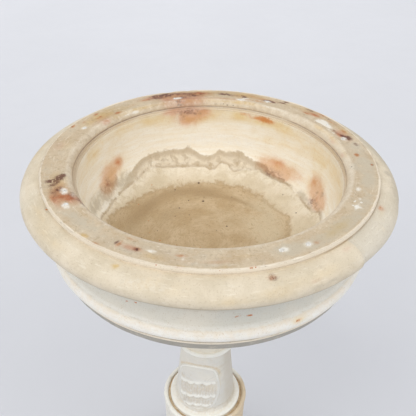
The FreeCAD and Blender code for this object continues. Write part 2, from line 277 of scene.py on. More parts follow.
# =====================================================================================================
# Outlines: a list of (radius, height) points that runs with the stone on its right
# =====================================================================================================
class Outline:
    def __init__(self, radius, height, step):
        self.points = [(radius, height)]
        self.step = step

    def _count(self, length, step):
        return max(1, math.ceil(length / (step or self.step)))

    def line(self, radius, height, step=None):
        r0, z0 = self.points[-1]
        count = self._count(math.hypot(radius - r0, height - z0), step)
        for i in range(1, count + 1):
            share = i / count
            self.points.append((r0 + (radius - r0) * share, z0 + (height - z0) * share))
        return self

    def oval(self, centre, reach, half_height, first, last, step=None):
        """Part of an ellipse about centre, from angle first to angle last in degrees."""
        size = math.radians(abs(last - first)) * (reach + half_height) / 2
        count = self._count(size, step)
        for i in range(1, count + 1):
            angle = math.radians(first + (last - first) * i / count)
            self.points.append(
                (centre[0] + reach * math.cos(angle), centre[1] + half_height * math.sin(angle))
            )
        return self

    def arc(self, middle, end, step=None):
        """Circular arc from the last point through middle to end."""
        a, b, c = (complex(*p) for p in (self.points[-1], middle, end))
        w = (c - a) / (b - a)
        centre = (b - a) * (w - abs(w) ** 2) / (2j * w.imag) + a
        radius = abs(a - centre)
        start = math.atan2((a - centre).imag, (a - centre).real)
        turn = (math.atan2((c - centre).imag, (c - centre).real) - start) % (2 * math.pi)
        middle_turn = (math.atan2((b - centre).imag, (b - centre).real) - start) % (2 * math.pi)
        if middle_turn > turn:
            turn -= 2 * math.pi
        count = self._count(abs(turn) * radius, step)
        for i in range(1, count + 1):
            angle = start + turn * i / count
            point = centre + radius * complex(math.cos(angle), math.sin(angle))
            self.points.append((point.real, point.imag))
        return self

    def curve(self, function, step=None):
        """The curve function(share), share 0 to 1, cut into even steps."""
        fine = np.array([function(i / 2000) for i in range(2001)])
        along = np.concatenate([[0.0], np.cumsum(np.hypot(*(fine[1:] - fine[:-1]).T))])
        count = self._count(along[-1], step)
        places = np.linspace(0.0, along[-1], count + 1)[1:]
        self.points += list(zip(np.interp(places, along, fine[:, 0]), np.interp(places, along, fine[:, 1])))
        return self


def soften(points, radius, sharp=20.0):
    """The outline with each sharp corner rounded off over about that radius."""
    out = [points[0]]
    for before, here, after in zip(points, points[1:], points[2:]):
        p, q, n = Vector(before), Vector(here), Vector(after)
        into, away = q - p, n - q
        if into.length < 1e-7 or away.length < 1e-7:
            continue
        if math.degrees(into.angle(away)) < sharp:
            out.append(here)
            continue
        start = q - into.normalized() * min(radius, into.length * 0.45)
        end = q + away.normalized() * min(radius, away.length * 0.45)
        for share in (0.0, 0.33, 0.67, 1.0):
            point = start * (1 - share) ** 2 + q * 2 * share * (1 - share) + end * share**2
            out.append((point.x, point.y))
    out.append(points[-1])
    return out


def lengths_along(points):
    return np.concatenate([[0.0], np.cumsum(np.hypot(*(points[1:] - points[:-1]).T))])


def edge_masks(points, reach):
    """For each outline point, how far it is an outer edge, painted pale for wear and as a painted
    highlight, and how far an inner corner, painted dark for dirt and as painted shade, 0 to 1.
    """
    along = lengths_along(points)
    heading = np.unwrap(np.arctan2(*(points[1:] - points[:-1]).T[::-1]))
    turn = np.zeros(len(points))
    turn[1:-1] = heading[1:] - heading[:-1]
    near = np.exp(-(((along[:, None] - along[None, :]) / reach) ** 2))
    wear_and_highlight = near @ np.clip(-turn, 0.0, None)
    corner_dirt_and_shade = near @ np.clip(turn, 0.0, None)
    return np.clip(wear_and_highlight / 1.2, 0, 1), np.clip(corner_dirt_and_shade / 1.2, 0, 1)


# =====================================================================================================
# Turned stones
# =====================================================================================================
class Stone:
    """A closed stone of revolution, with its vertex places as arrays for carving and painting.

    The outline starts and ends on the axis and has the stone on its right.
    carve(azimuth, radius, height) gives how deep the surface is cut back, in metres, and widen how
    far a point moves straight out from the axis.
    """

    def __init__(self, name, outline, azimuths, carve, widen=None, round_off=0.0012, edge_reach=0.0026):
        rows = np.array(soften(outline.points, round_off))
        tangent = np.gradient(rows, axis=0)
        tangent /= np.maximum(np.linalg.norm(tangent, axis=1, keepdims=True), 1e-9)
        normal = np.stack([-tangent[:, 1], tangent[:, 0]], axis=1)[1:-1]
        columns = len(azimuths)
        azimuth, radius = np.meshgrid(azimuths, rows[1:-1, 0])
        height = np.meshgrid(azimuths, rows[1:-1, 1])[1]
        self.azimuth = self._with_ends(azimuth, 0.0, 0.0)
        self.radius = self._with_ends(radius, 0.0, 0.0)
        self.height = self._with_ends(height, rows[0, 1], rows[-1, 1])
        depth = carve(azimuth, radius, height)
        if widen:
            radius = radius + widen(azimuth, radius, height)
        radius = radius - depth * normal[:, 0:1]
        height = height - depth * normal[:, 1:2]
        grid = np.stack([radius * np.cos(azimuth), radius * np.sin(azimuth), height], axis=-1)
        ends = np.array([[0, 0, rows[0, 1]], [0, 0, rows[-1, 1]]])
        vertices = np.concatenate([grid.reshape(-1, 3), ends])
        faces = self._faces(len(rows) - 2, columns)
        self.piece = add_smooth(name, vertices.tolist(), faces)
        along = lengths_along(rows)
        # outer edges painted pale for wear and as a painted highlight, inner corners painted dark for dirt
        # and as painted shade
        wear_and_highlight, corner_dirt_and_shade = edge_masks(rows, edge_reach)
        self.corner_dirt_and_shade = self._spread(corner_dirt_and_shade, columns)
        self.paint("corner_dirt_and_shade", self.corner_dirt_and_shade)
        self.paint("wear_and_highlight", self._spread(wear_and_highlight, columns))
        self.paint("along", self._spread(along, columns))

    @staticmethod
    def _spread(values, columns):
        """One value per outline point, repeated round the stone."""
        return np.concatenate([np.repeat(values[1:-1], columns), values[[0, -1]]])

    @staticmethod
    def _with_ends(grid, first, last):
        return np.concatenate([grid.reshape(-1), [first, last]])

    @staticmethod
    def _faces(rows, columns):
        faces = []
        for row in range(rows - 1):
            low, high = row * columns, (row + 1) * columns
            for column in range(columns):
                after = (column + 1) % columns
                faces.append((low + after, low + column, high + column, high + after))
        first, last = rows * columns, rows * columns + 1
        top = (rows - 1) * columns
        for column in range(columns):
            after = (column + 1) % columns
            faces.append((first, column, after))
            faces.append((last, top + after, top + column))
        return faces

    def paint(self, name, values):
        paint(self.piece, name, values)

    def marks(self, name, places):
        """Paints soft spots: (azimuth degrees, radius, height, half width, half height, strength), mm."""
        total = np.zeros_like(self.radius)
        for azimuth, radius, height, wide, tall, strength in places:
            total += strength * self.nearness(azimuth, radius, height, wide, tall)
        self.paint(name, total)

    def nearness(self, azimuth, radius, height, wide, tall):
        turn = turn_from(math.radians(azimuth), self.azimuth)
        across = turn * self.radius * 1000.0 / wide
        along = np.hypot(self.radius * 1000.0 - radius, self.height * 1000.0 - height) / tall
        return np.exp(-(across**2) - along**2)


def even_turns(count):
    return np.arange(count) / count * 2 * math.pi


class Ripple:
    """A smooth random field, about -1 to 1, with bumps about `size` metres across."""

    def __init__(self, seed, size, waves=9):
        random = np.random.default_rng(seed)
        heading = random.normal(size=(waves, 3))
        heading /= np.linalg.norm(heading, axis=1, keepdims=True)
        self.wave = heading * (math.pi / size) * random.uniform(0.6, 1.4, (waves, 1))
        self.start = random.uniform(0, 2 * math.pi, waves)

    def __call__(self, azimuth, radius, height):
        place = np.stack([radius * np.cos(azimuth), radius * np.sin(azimuth), height], axis=-1)
        total = np.zeros_like(radius)
        for wave, start in zip(self.wave, self.start):
            total += np.sin(place @ wave + start)
        return total / math.sqrt(len(self.start)) / 1.4


def chips(azimuth, radius, height, edge, count, sizes, seed):
    """Cut-back depth of small knocks along the edge at (radius, height)."""
    random = np.random.default_rng(seed)
    depth = np.zeros_like(radius)
    reach = max(sizes) * 1.5
    close = np.hypot(radius - edge[0], height - edge[1]) < reach
    middles = random.uniform(0, 2 * math.pi, count)
    for middle, size, stretch in zip(middles, random.uniform(*sizes, count), random.uniform(1, 2.5, count)):
        turn = turn_from(middle, azimuth[close])
        gap = np.sqrt(
            (turn * radius[close] / stretch) ** 2
            + (radius[close] - edge[0]) ** 2
            + (height[close] - edge[1]) ** 2
        )
        depth[close] = np.maximum(depth[close], 0.42 * size * smooth(size, size * 0.25, gap))
    return depth


# =====================================================================================================
# Materials
# =====================================================================================================
# Where most of a noise texture's values lie, and the sockets of a colour mix.
NOISE_LOW, NOISE_HIGH = 0.3, 0.7
MIX_FIRST, MIX_SECOND, MIX_RESULT = 6, 7, 2
DOT_CORE = 0.35          # share of a dot that has its full colour


class Shader:
    """A short way to wire one procedural material, with sizes in metres."""

    def __init__(self, name):
        self.material = bpy.data.materials.new(name)
        self.material.use_nodes = True
        self.tree = self.material.node_tree
        self.surface = self.tree.nodes["Principled BSDF"]
        self.place = self.node("TexCoord").outputs["Object"]

    def feed(self, socket, value):
        """Links an output to the socket, or sets its value. Colours are sRGB, 0 to 255."""
        if isinstance(value, bpy.types.NodeSocket):
            self.tree.links.new(value, socket)
        else:
            socket.default_value = srgb(*value) if socket.type == "RGBA" else value

    def node(self, kind, inputs=(), **settings):
        """A new node, with its inputs given as (socket, value) pairs."""
        node = self.tree.nodes.new("ShaderNode" + kind)
        for name, value in settings.items():
            setattr(node, name, value)
        for socket, value in inputs:
            if value is not None:
                self.feed(node.inputs[socket], value)
        return node

    def attribute(self, name):
        return self.node("Attribute", attribute_name=name).outputs["Fac"]

    def math(self, kind, first, second=None, clamp=False):
        node = self.node("Math", ((0, first), (1, second)), operation=kind, use_clamp=clamp)
        return node.outputs["Value"]

    def vector(self, kind, first, second=None, scale=None):
        node = self.node("VectorMath", ((0, first), (1, second), ("Scale", scale)), operation=kind)
        return node.outputs["Value" if kind == "DISTANCE" else "Vector"]

    def grain(self, size, detail=4.0, rough=0.55, twist=0.0, place=None, shift=0.0):
        """Cloudy noise with clouds about `size` across, most of it between 0 and 1."""
        inputs = (
            ("Vector", place or self.place),
            ("W", shift),
            ("Scale", 1.0 / size),
            ("Detail", detail),
            ("Roughness", rough),
            ("Distortion", twist),
        )
        noise = self.node("TexNoise", inputs, noise_dimensions="4D").outputs["Fac"]
        inputs = (("Value", noise), ("From Min", NOISE_LOW), ("From Max", NOISE_HIGH))
        return self.node("MapRange", inputs, clamp=False).outputs["Result"]

    def band_place(self, stretch):
        """Coordinates squeezed along the stone's section, so that noise on them runs in rings."""
        parts = self.node("SeparateXYZ", ((0, self.place),)).outputs
        along = self.math("MULTIPLY", self.attribute("along"), stretch)
        inputs = (("X", parts["X"]), ("Y", parts["Y"]), ("Z", along))
        return self.node("CombineXYZ", inputs).outputs["Vector"]

    def wavy_place(self, size, amount):
        """The object's coordinates, pushed about by noise."""
        noise = self.node("TexNoise", (("Vector", self.place), ("Scale", 1.0 / size), ("Detail", 3.0)))
        centred = self.vector("SUBTRACT", noise.outputs["Color"], (0.5, 0.5, 0.5))
        return self.vector("ADD", self.place, self.vector("SCALE", centred, None, amount * 2))

    def step(self, value, low, high, top=1.0):
        """0 below low, `top` above high, an S curve between. low may be the greater."""
        ends = (0.0, top) if low < high else (top, 0.0)
        inputs = (
            ("Value", value),
            ("From Min", min(low, high)),
            ("From Max", max(low, high)),
            ("To Min", ends[0]),
            ("To Max", ends[1]),
        )
        return self.node("MapRange", inputs, interpolation_type="SMOOTHSTEP").outputs["Result"]

    def mix(self, share, first, second, blend="MIX"):
        inputs = (("Factor", share), (MIX_FIRST, first), (MIX_SECOND, second))
        node = self.node("Mix", inputs, data_type="RGBA", blend_type=blend, clamp_factor=True)
        return node.outputs[MIX_RESULT]

    def layers(self, colour, *layers, blend="MIX"):
        """The colour with each (share, colour) layer laid over it in turn."""
        for share, tint in layers:
            colour = self.mix(share, colour, tint, blend)
        return colour

    def soak(self, colour, *layers):
        """The colour darkened by each (share, colour) layer in turn."""
        return self.layers(colour, *layers, blend="MULTIPLY")

    def times(self, *values):
        total = values[0]
        for value in values[1:]:
            total = self.math("MULTIPLY", total, value)
        return total

    def without(self, value):
        return self.math("SUBTRACT", 1.0, value)

    def plus(self, first, noise_value, amount):
        """first + (noise - 0.5) * amount"""
        centred = self.math("SUBTRACT", noise_value, 0.5)
        return self.math("ADD", first, self.math("MULTIPLY", centred, amount))

    def stain(self, name, noise_value, ragged, low, high, top=1.0):
        """The painted mask `name`, made patchy by noise."""
        patchy = self.math("ADD", self.math("MULTIPLY", noise_value, ragged), 1.0 - ragged / 2)
        return self.step(self.times(self.attribute(name), patchy), low, high, top)

    def spots(self, colour, tint, places, wavy):
        """Small dots laid over a colour: (azimuth degrees, radius, height, dot radius), in mm."""
        nearest = None
        for azimuth, radius, height, size in places:
            gap = self.vector("DISTANCE", wavy, on_ring(azimuth, radius, height / 1000))
            dot = self.step(gap, size / 1000, size * DOT_CORE / 1000)
            nearest = dot if nearest is None else self.math("MAXIMUM", nearest, dot)
        return self.mix(nearest, colour, tint)

    def finish(self, colour, sheen, bumps):
        """sheen: (noise, its share, least roughness). bumps: (height, depth in metres), coarse to fine."""
        noise, share, least = sheen
        self.feed(self.surface.inputs["Base Color"], colour)
        self.feed(self.surface.inputs["Roughness"], self.math("ADD", self.times(noise, share), least))
        normal = None
        for height, depth in bumps:
            inputs = (("Strength", 1.0), ("Distance", depth), ("Height", height), ("Normal", normal))
            normal = self.node("Bump", inputs).outputs["Normal"]
        self.feed(self.surface.inputs["Normal"], normal)
        return self.material


# =====================================================================================================
# Outlines of the four turned stones
# =====================================================================================================
def bowl_point(share):
    """The bowl's section from its middle, share 0, to its mouth, share 1."""
    angle = math.pi / 2 * (1 - share)
    out = max(math.cos(angle), 0.0) ** (2 / BOWL_POWER)
    down = math.sin(angle) ** (2 / BOWL_POWER)
    return BOWL_R * out, LEDGE_Z - BOWL_DEPTH * down


def basin_outline():
    cove_top = TORUS_LOW - COVE_TOP_DROP
    centre_r = UNDERSIDE_R - UNDERSIDE_REACH
    seat_angle = math.degrees(math.acos((SEAT_R - centre_r) / UNDERSIDE_REACH))
    section = Outline(0.0, bowl_point(0.0)[1], 0.003)
    section.curve(bowl_point)
    section.line(MOUTH_R, LEDGE_Z, 0.0012)
    section.line(MOUTH_R, MOUTH_Z)
    section.oval((MOUTH_R + RIM_ROUND, MOUTH_Z), RIM_ROUND, RIM_ROUND, 180, 90, 0.0022)
    section.line(RIM_R, RIM_Z, 0.0026)
    section.line(RIM_R, FACE_LOW + QUIRK / 2, 0.004)
    section.line(RIM_R - QUIRK, FACE_LOW)
    section.line(TORUS_MID_R, FACE_LOW)
    section.oval((TORUS_MID_R, TORUS_Z), TORUS_R - TORUS_MID_R, TORUS_HALF_H, 90, -90, 0.0036)
    section.line(SOFFIT_R, TORUS_LOW, 0.007)
    section.line(SOFFIT_R, cove_top)
    section.arc((COVE_R, (cove_top + ROLL_TOP) / 2), (ROLL_MID_R, ROLL_TOP), 0.006)
    section.oval((ROLL_MID_R, ROLL_Z), ROLL_REACH, ROLL_HALF_H, 90, -90, 0.0036)
    section.line(FILLET_R - FILLET_GAP, ROLL_Z - ROLL_HALF_H, 0.006)
    section.line(FILLET_R - FILLET_GAP, FILLET_TOP)
    section.line(FILLET_R, FILLET_TOP)
    section.line(FILLET_R, FILLET_TOP - FILLET_H, 0.004)
    section.line(UNDERSIDE_R, UNDERSIDE_Z)
    section.oval((centre_r, UNDERSIDE_Z), UNDERSIDE_REACH, UNDERSIDE_DEPTH, 0, -seat_angle, 0.01)
    section.line(SEAT_R, BASIN_LOW.z, 0.006)
    section.line(0.0, BASIN_LOW.z, 0.035)
    return section


def shaft_outline():
    flare_high = SHAFT_HIGH.z - HEAD_BAND
    flare_foot = NECK_Z + FLARE_STEP
    collar_z = ASTRAGAL_Z - ASTRAGAL_TUBE
    section = Outline(0.0, SHAFT_HIGH.z, 0.003)
    section.line(SHAFT_HIGH.x, SHAFT_HIGH.z, 0.03)
    section.line(SHAFT_HIGH.x, flare_high, 0.004)
    section.line(FLARE_R, flare_high)
    section.oval((FLARE_R, flare_foot), FLARE_R - NECK_R, flare_high - flare_foot, 90, 180, 0.005)
    section.line(NECK_R + NECK_BAND, NECK_Z)
    section.line(NECK_R + NECK_BAND, ASTRAGAL_Z + ASTRAGAL_TUBE)
    section.line(ASTRAGAL_MID_R, ASTRAGAL_Z + ASTRAGAL_TUBE)
    section.oval((ASTRAGAL_MID_R, ASTRAGAL_Z), ASTRAGAL_TUBE, ASTRAGAL_TUBE, 90, -90, 0.002)
    section.line(COLLAR_R, collar_z)
    section.line(COLLAR_R, collar_z - COLLAR_H)
    section.arc((CONE_TOP[0] + COLLAR_COVE, (CONE_TOP[1] + collar_z - COLLAR_H) / 2), CONE_TOP, 0.002)
    section.line(*CONE_FOOT, 0.0011)
    cove = ((CONE_FOOT[0] + FOOT_R) / 2 - FOOT_COVE, FOOT_TOP + FOOT_COVE)
    section.arc(cove, (FOOT_R - FOOT_ROUND, FOOT_TOP), 0.0015)
    section.oval((FOOT_R - FOOT_ROUND, FOOT_TOP - FOOT_ROUND), FOOT_ROUND, FOOT_ROUND, 90, 0, 0.001)
    section.line(FOOT_R, SHAFT_LOW.z, 0.004)
    section.line(0.0, SHAFT_LOW.z, 0.03)
    return section


def drum_outline():
    lip_round = (LIP_R - SOCKET_R) / 2
    flare_high = DRUM_LOW.z + BAND_H + DRUM_FLARE_H
    section = Outline(0.0, SOCKET_Z, 0.003)
    section.line(SOCKET_R, SOCKET_Z, 0.02)
    section.line(SOCKET_R, DRUM_HIGH.z - lip_round)
    section.oval((SOCKET_R + lip_round, DRUM_HIGH.z - lip_round), lip_round, lip_round, 180, 0, 0.0013)
    section.arc((DRUM_R + 0.001, DRUM_HIGH.z - 0.011), (DRUM_R, DRUM_HIGH.z - 0.018))
    section.line(DRUM_WAIST_R, flare_high, 0.005)
    cove = ((DRUM_WAIST_R + DRUM_HIGH.x) / 2 - 0.0045, DRUM_LOW.z + BAND_H + DRUM_FLARE_H / 2 - 0.0045)
    section.arc(cove, (DRUM_HIGH.x, DRUM_LOW.z + BAND_H))
    section.line(DRUM_HIGH.x, DRUM_LOW.z, 0.004)
    section.line(0.0, DRUM_LOW.z, 0.04)
    return section


def base_outline():
    half = BASE_TORUS_H / 2
    fillet_z = BASE_LOW.z + BASE_TORUS_H
    scotia_low = fillet_z + BASE_FILLET_H
    scotia_high = BASE_HIGH.z - BASE_BAND_H
    section = Outline(0.0, BASE_HIGH.z, 0.003)
    section.line(BASE_BAND_R, BASE_HIGH.z, 0.03)
    section.line(BASE_BAND_R, scotia_high, 0.004)
    section.line(BASE_SCOTIA_TOP_R, scotia_high)
    section.arc((BASE_WAIST_R, scotia_low + 0.007), (BASE_FILLET_R, scotia_low), 0.0035)
    section.line(BASE_FILLET_R, fillet_z, 0.004)
    section.line(BASE_HIGH.x - half, fillet_z)
    section.oval((BASE_HIGH.x - half, BASE_LOW.z + half), half, half, 90, -90, 0.0035)
    section.line(0.0, BASE_LOW.z, 0.04)
    return section


# =====================================================================================================
# The basin: carving and painting
# =====================================================================================================
def ring_values(places, azimuth):
    """Value at each azimuth from a list of (azimuth degrees, value), joined round the ring."""
    turns = np.radians([place[0] for place in places])
    values = np.array([place[1] for place in places])
    return np.interp(azimuth % (2 * math.pi), turns, values, period=2 * math.pi)


# Height above the ground of the old water line on the bowl's wall, by azimuth, mm.
TIDE = (
    (5, 884), (9, 875), (18, 871), (27, 874), (35, 876), (49, 874), (54, 874), (60, 878), (68, 873),
    (75, 867), (79, 876), (83, 879), (86, 870), (90, 867), (93, 872), (105, 873), (118, 877), (127, 883),
    (130, 881), (136, 875), (143, 873), (157, 871), (172, 870), (178, 873), (200, 876), (225, 872),
    (255, 875), (285, 871), (315, 876), (345, 880),
)
# Radius to which brown silt has stained the bowl's floor, by azimuth, mm.
SILT = (
    (11, 155), (25, 155), (41, 156), (54, 162), (68, 163), (82, 162), (92, 161), (104, 161), (115, 162),
    (126, 166), (140, 170), (157, 173), (180, 186), (220, 165), (260, 155), (300, 150), (340, 150),
)

# How much narrower the ledge is than at its widest, by azimuth, mm.
LEDGE_LOSS = (
    (0, 3.0), (45, 3.6), (90, 3.8), (130, 3.6), (160, 1.6), (180, 0.4), (205, 1.6), (230, 3.4),
    (300, 3.6),
)
# Height above the ground where the crust on the bowl's wall ends, by azimuth, mm.
CRUST_TOP = (
    (0, 882), (9, 874), (18, 871), (27, 874), (36, 877), (47, 880), (58, 888), (65, 892), (74, 898),
    (85, 899), (91, 889), (96, 892), (102, 904), (110, 905), (123, 906), (130, 903), (138, 890),
    (146, 880), (157, 874), (172, 873), (200, 878), (225, 874), (255, 876), (285, 873), (315, 878),
    (345, 882),
)
# How pale the mouth's rounding is, and how dark the ledge under it, by azimuth.
MOUTH_PALE = (
    (0, 0.8), (30, 0.7), (50, 0.4), (75, 0.15), (130, 0.12), (220, 0.1), (260, 0.3), (320, 0.5),
)
# The ledge's darkness is dirt and painted shade, strongest at the left and right.
LEDGE_DARK = (
    (0, 1.0), (30, 0.9), (60, 0.5), (100, 0.4), (140, 0.6), (170, 1.0), (200, 1.0), (230, 0.4),
    (320, 0.5),
)

# The torus's old repair: azimuths of its seam and of its end, and how far it is set back at the seam.
REPAIR_SEAM = 315
REPAIR_END = 335
REPAIR_SET_BACK = 0.0025
CRUST_THICKNESS = 0.0009
SILT_DEPTH = 0.0006
HAIR = 0.0005            # slack when a zone is picked out by its height or radius


def basin_carving():
    """Waviness, the worn rim, the etched crust and silt, the torus's repair and the chipped edges."""
    broad = Ripple(SEED, 0.11)
    fine = Ripple(SEED + 1, 0.022)
    gnaw = Ripple(SEED + 2, 0.009, 14)
    edge_wear = Ripple(SEED + 4, 0.03)
    knocks = (
        ((RIM_R, RIM_Z), 34, (0.002, 0.0065)),
        ((FILLET_R, FILLET_TOP), 26, (0.002, 0.006)),
        ((ROLL_MID_R + ROLL_REACH, 0.868), 12, (0.003, 0.006)),
        ((TORUS_R, 0.967), 10, (0.003, 0.008)),
    )

    def carve(azimuth, radius, height):
        small = fine(azimuth, radius, height)
        depth = 0.0004 * (1 + broad(azimuth, radius, height)) + 0.00012 * (1 + small)
        flat_rim = smooth(0.2395, 0.2445, radius) * smooth(RIM_R, RIM_R - 0.002, radius)
        flat_rim *= smooth(RIM_Z - 0.0015, RIM_Z - 0.0005, height)
        depth += flat_rim * (0.0003 + 0.00018 * (1 + small))

        bowl = (height > BOWL_LOW - HAIR) & (radius < BOWL_R + HAIR)
        ragged = gnaw(azimuth, radius, height)
        tide = height * 1000 - ring_values(TIDE, azimuth) + 1.5 * ragged
        silt = ring_values(SILT, azimuth) - radius * 1000 + 2.0 * ragged
        depth += bowl * CRUST_THICKNESS * smooth(-1.5, 2.0, tide) * smooth(45, 25, tide)
        depth += bowl * SILT_DEPTH * smooth(-3, 3, silt)

        turn = np.degrees(azimuth)
        on_torus = (radius > TORUS_MID_R - 0.001) & (height > TORUS_LOW - HAIR) & (height < FACE_LOW + HAIR)
        repair = smooth(REPAIR_SEAM - 0.4, REPAIR_SEAM + 0.4, turn)
        depth += on_torus * repair * smooth(REPAIR_END, REPAIR_SEAM + 1, turn) * REPAIR_SET_BACK

        arris_gap = np.hypot(radius - RIM_R, height - RIM_Z)
        depth += 0.0007 * (1 + edge_wear(azimuth, radius, height)) * smooth(0.004, 0.0, arris_gap)
        for i, knock in enumerate(knocks):
            depth += chips(azimuth, radius, height, *knock, SEED + i)
        return np.maximum(depth, 0.0)

    return carve


def mouth_widening(azimuth, radius, height):
    """The bowl was cut a little out of true: the ledge under the mouth is widest at its left."""
    wall_top = LEDGE_Z - 0.0002
    on_ledge = (height > wall_top) & (height < MOUTH_Z - 0.001)
    on_wall = (height <= wall_top) & (height > 0.88)
    share = on_wall * smooth(0.885, 0.965, height)
    share = np.where(on_ledge, np.clip((MOUTH_R - radius) / (MOUTH_R - BOWL_R), 0, 1), share)
    return share * (radius < MOUTH_R) * ring_values(LEDGE_LOSS, azimuth) / 1000


def paint_basin(stone):
    """Marks out the basin's zones and stains, with its painted highlight and painted shade, for its
    material.
    """
    radius, height, azimuth = stone.radius, stone.height, stone.azimuth
    mouth_low = MOUTH_Z - 0.0001
    rim_start = MOUTH_R + RIM_ROUND + 0.001
    in_mouth = radius < MOUTH_R + 0.0006
    bowl = (height > BOWL_LOW - HAIR) & (height < mouth_low) & in_mouth
    mouth = (height >= mouth_low) & (radius < rim_start)
    rim = (height >= mouth_low) & (radius >= MOUTH_R - 0.001) & (radius < RIM_R + 0.0015)
    rim &= (radius < rim_start) | (height > RIM_Z - 0.0015)
    band = (height > TORUS_LOW - 0.0003) & (radius > SOFFIT_R - HAIR) & ~rim
    face = (height > FACE_LOW + 0.0003) & (height < RIM_Z - 0.0012)
    stone.paint("bowl_zone", bowl)
    stone.paint("mouth_zone", mouth * smooth(rim_start, 0.2310, radius) * ring_values(MOUTH_PALE, azimuth))
    stone.paint("rim_zone", rim)
    stone.paint("band_zone", band & (height < FACE_LOW + HAIR))
    # the rim's outer face, painted pale for wear and as a painted highlight
    stone.paint("face_zone", face & (radius > RIM_R - 0.0015) & (radius < RIM_R + 0.0004))
    # painted shade on the basin's underside
    stone.paint("shaded_underside", (height < FILLET_TOP - FILLET_H - 0.0002) & ~bowl)
    # the roll's zone, for a painted highlight where light falls on it from above
    stone.paint("roll", smooth(0.8505, 0.8530, height) * smooth(0.8785, 0.8755, height) * (radius > 0.262))

    # centimetres above the water line, below the crust's top and inside the silt's edge
    stone.paint("tide", np.where(bowl, height * 100 - ring_values(TIDE, azimuth) / 10, 9.0))
    stone.paint("crust", np.where(bowl, ring_values(CRUST_TOP, azimuth) / 10 - height * 100, -9.0))
    stone.paint("silt", np.where(bowl, ring_values(SILT, azimuth) / 10 - radius * 100, -9.0))

    # dirt and painted shade on the ledge under the mouth
    ledge = smooth(0.9800, 0.9818, height) * (height < 0.9850) * in_mouth * (radius > BOWL_R - 0.001)
    stone.paint("ledge", ledge * ring_values(LEDGE_DARK, azimuth))
    # dirt and painted shade in the groove under the rim's face, faint at the front
    quirk = np.exp(-(((height - FACE_LOW) / 0.003) ** 2)) * (radius > 0.27) * (radius < 0.284)
    stone.paint("corner_dirt_and_shade", stone.corner_dirt_and_shade * (1 - quirk * (1 - ring_values(QUIRK_SHADE_AND_DIRT, azimuth))))
    turn = np.degrees(azimuth)
    seam = smooth(REPAIR_SEAM - 0.4, REPAIR_SEAM + 0.6, turn)
    stone.paint("repair", band * seam * smooth(356, 325, turn))
    # painted shadow on the torus's lowest part and on the top of the cove under it
    under_torus = smooth(0.9610, 0.9550, height) * (height > 0.9420) * (radius > 0.278)
    cove = smooth(0.8985, 0.9040, height) * (height < 0.9400) * (radius > 0.240) * (radius < 0.2700)
    stone.paint("shadow_under_torus", under_torus + 0.5 * cove)
    # a line of dirt and painted shade along the crease under the mouth's rounding
    crease = np.exp(-(((height - MOUTH_Z) / 0.0010) ** 2)) * (radius < 0.2275) * (radius > 0.224)
    stone.paint("crease", crease * ring_values(CREASE_STRENGTH, azimuth))
    for name, places in STAINS.items():
        on_rim = [(turn, out, RIM_Z * 1000, *rest) for turn, out, *rest in RIM_STAINS.get(name, ())]
        stone.marks(name, [*places, *on_rim])


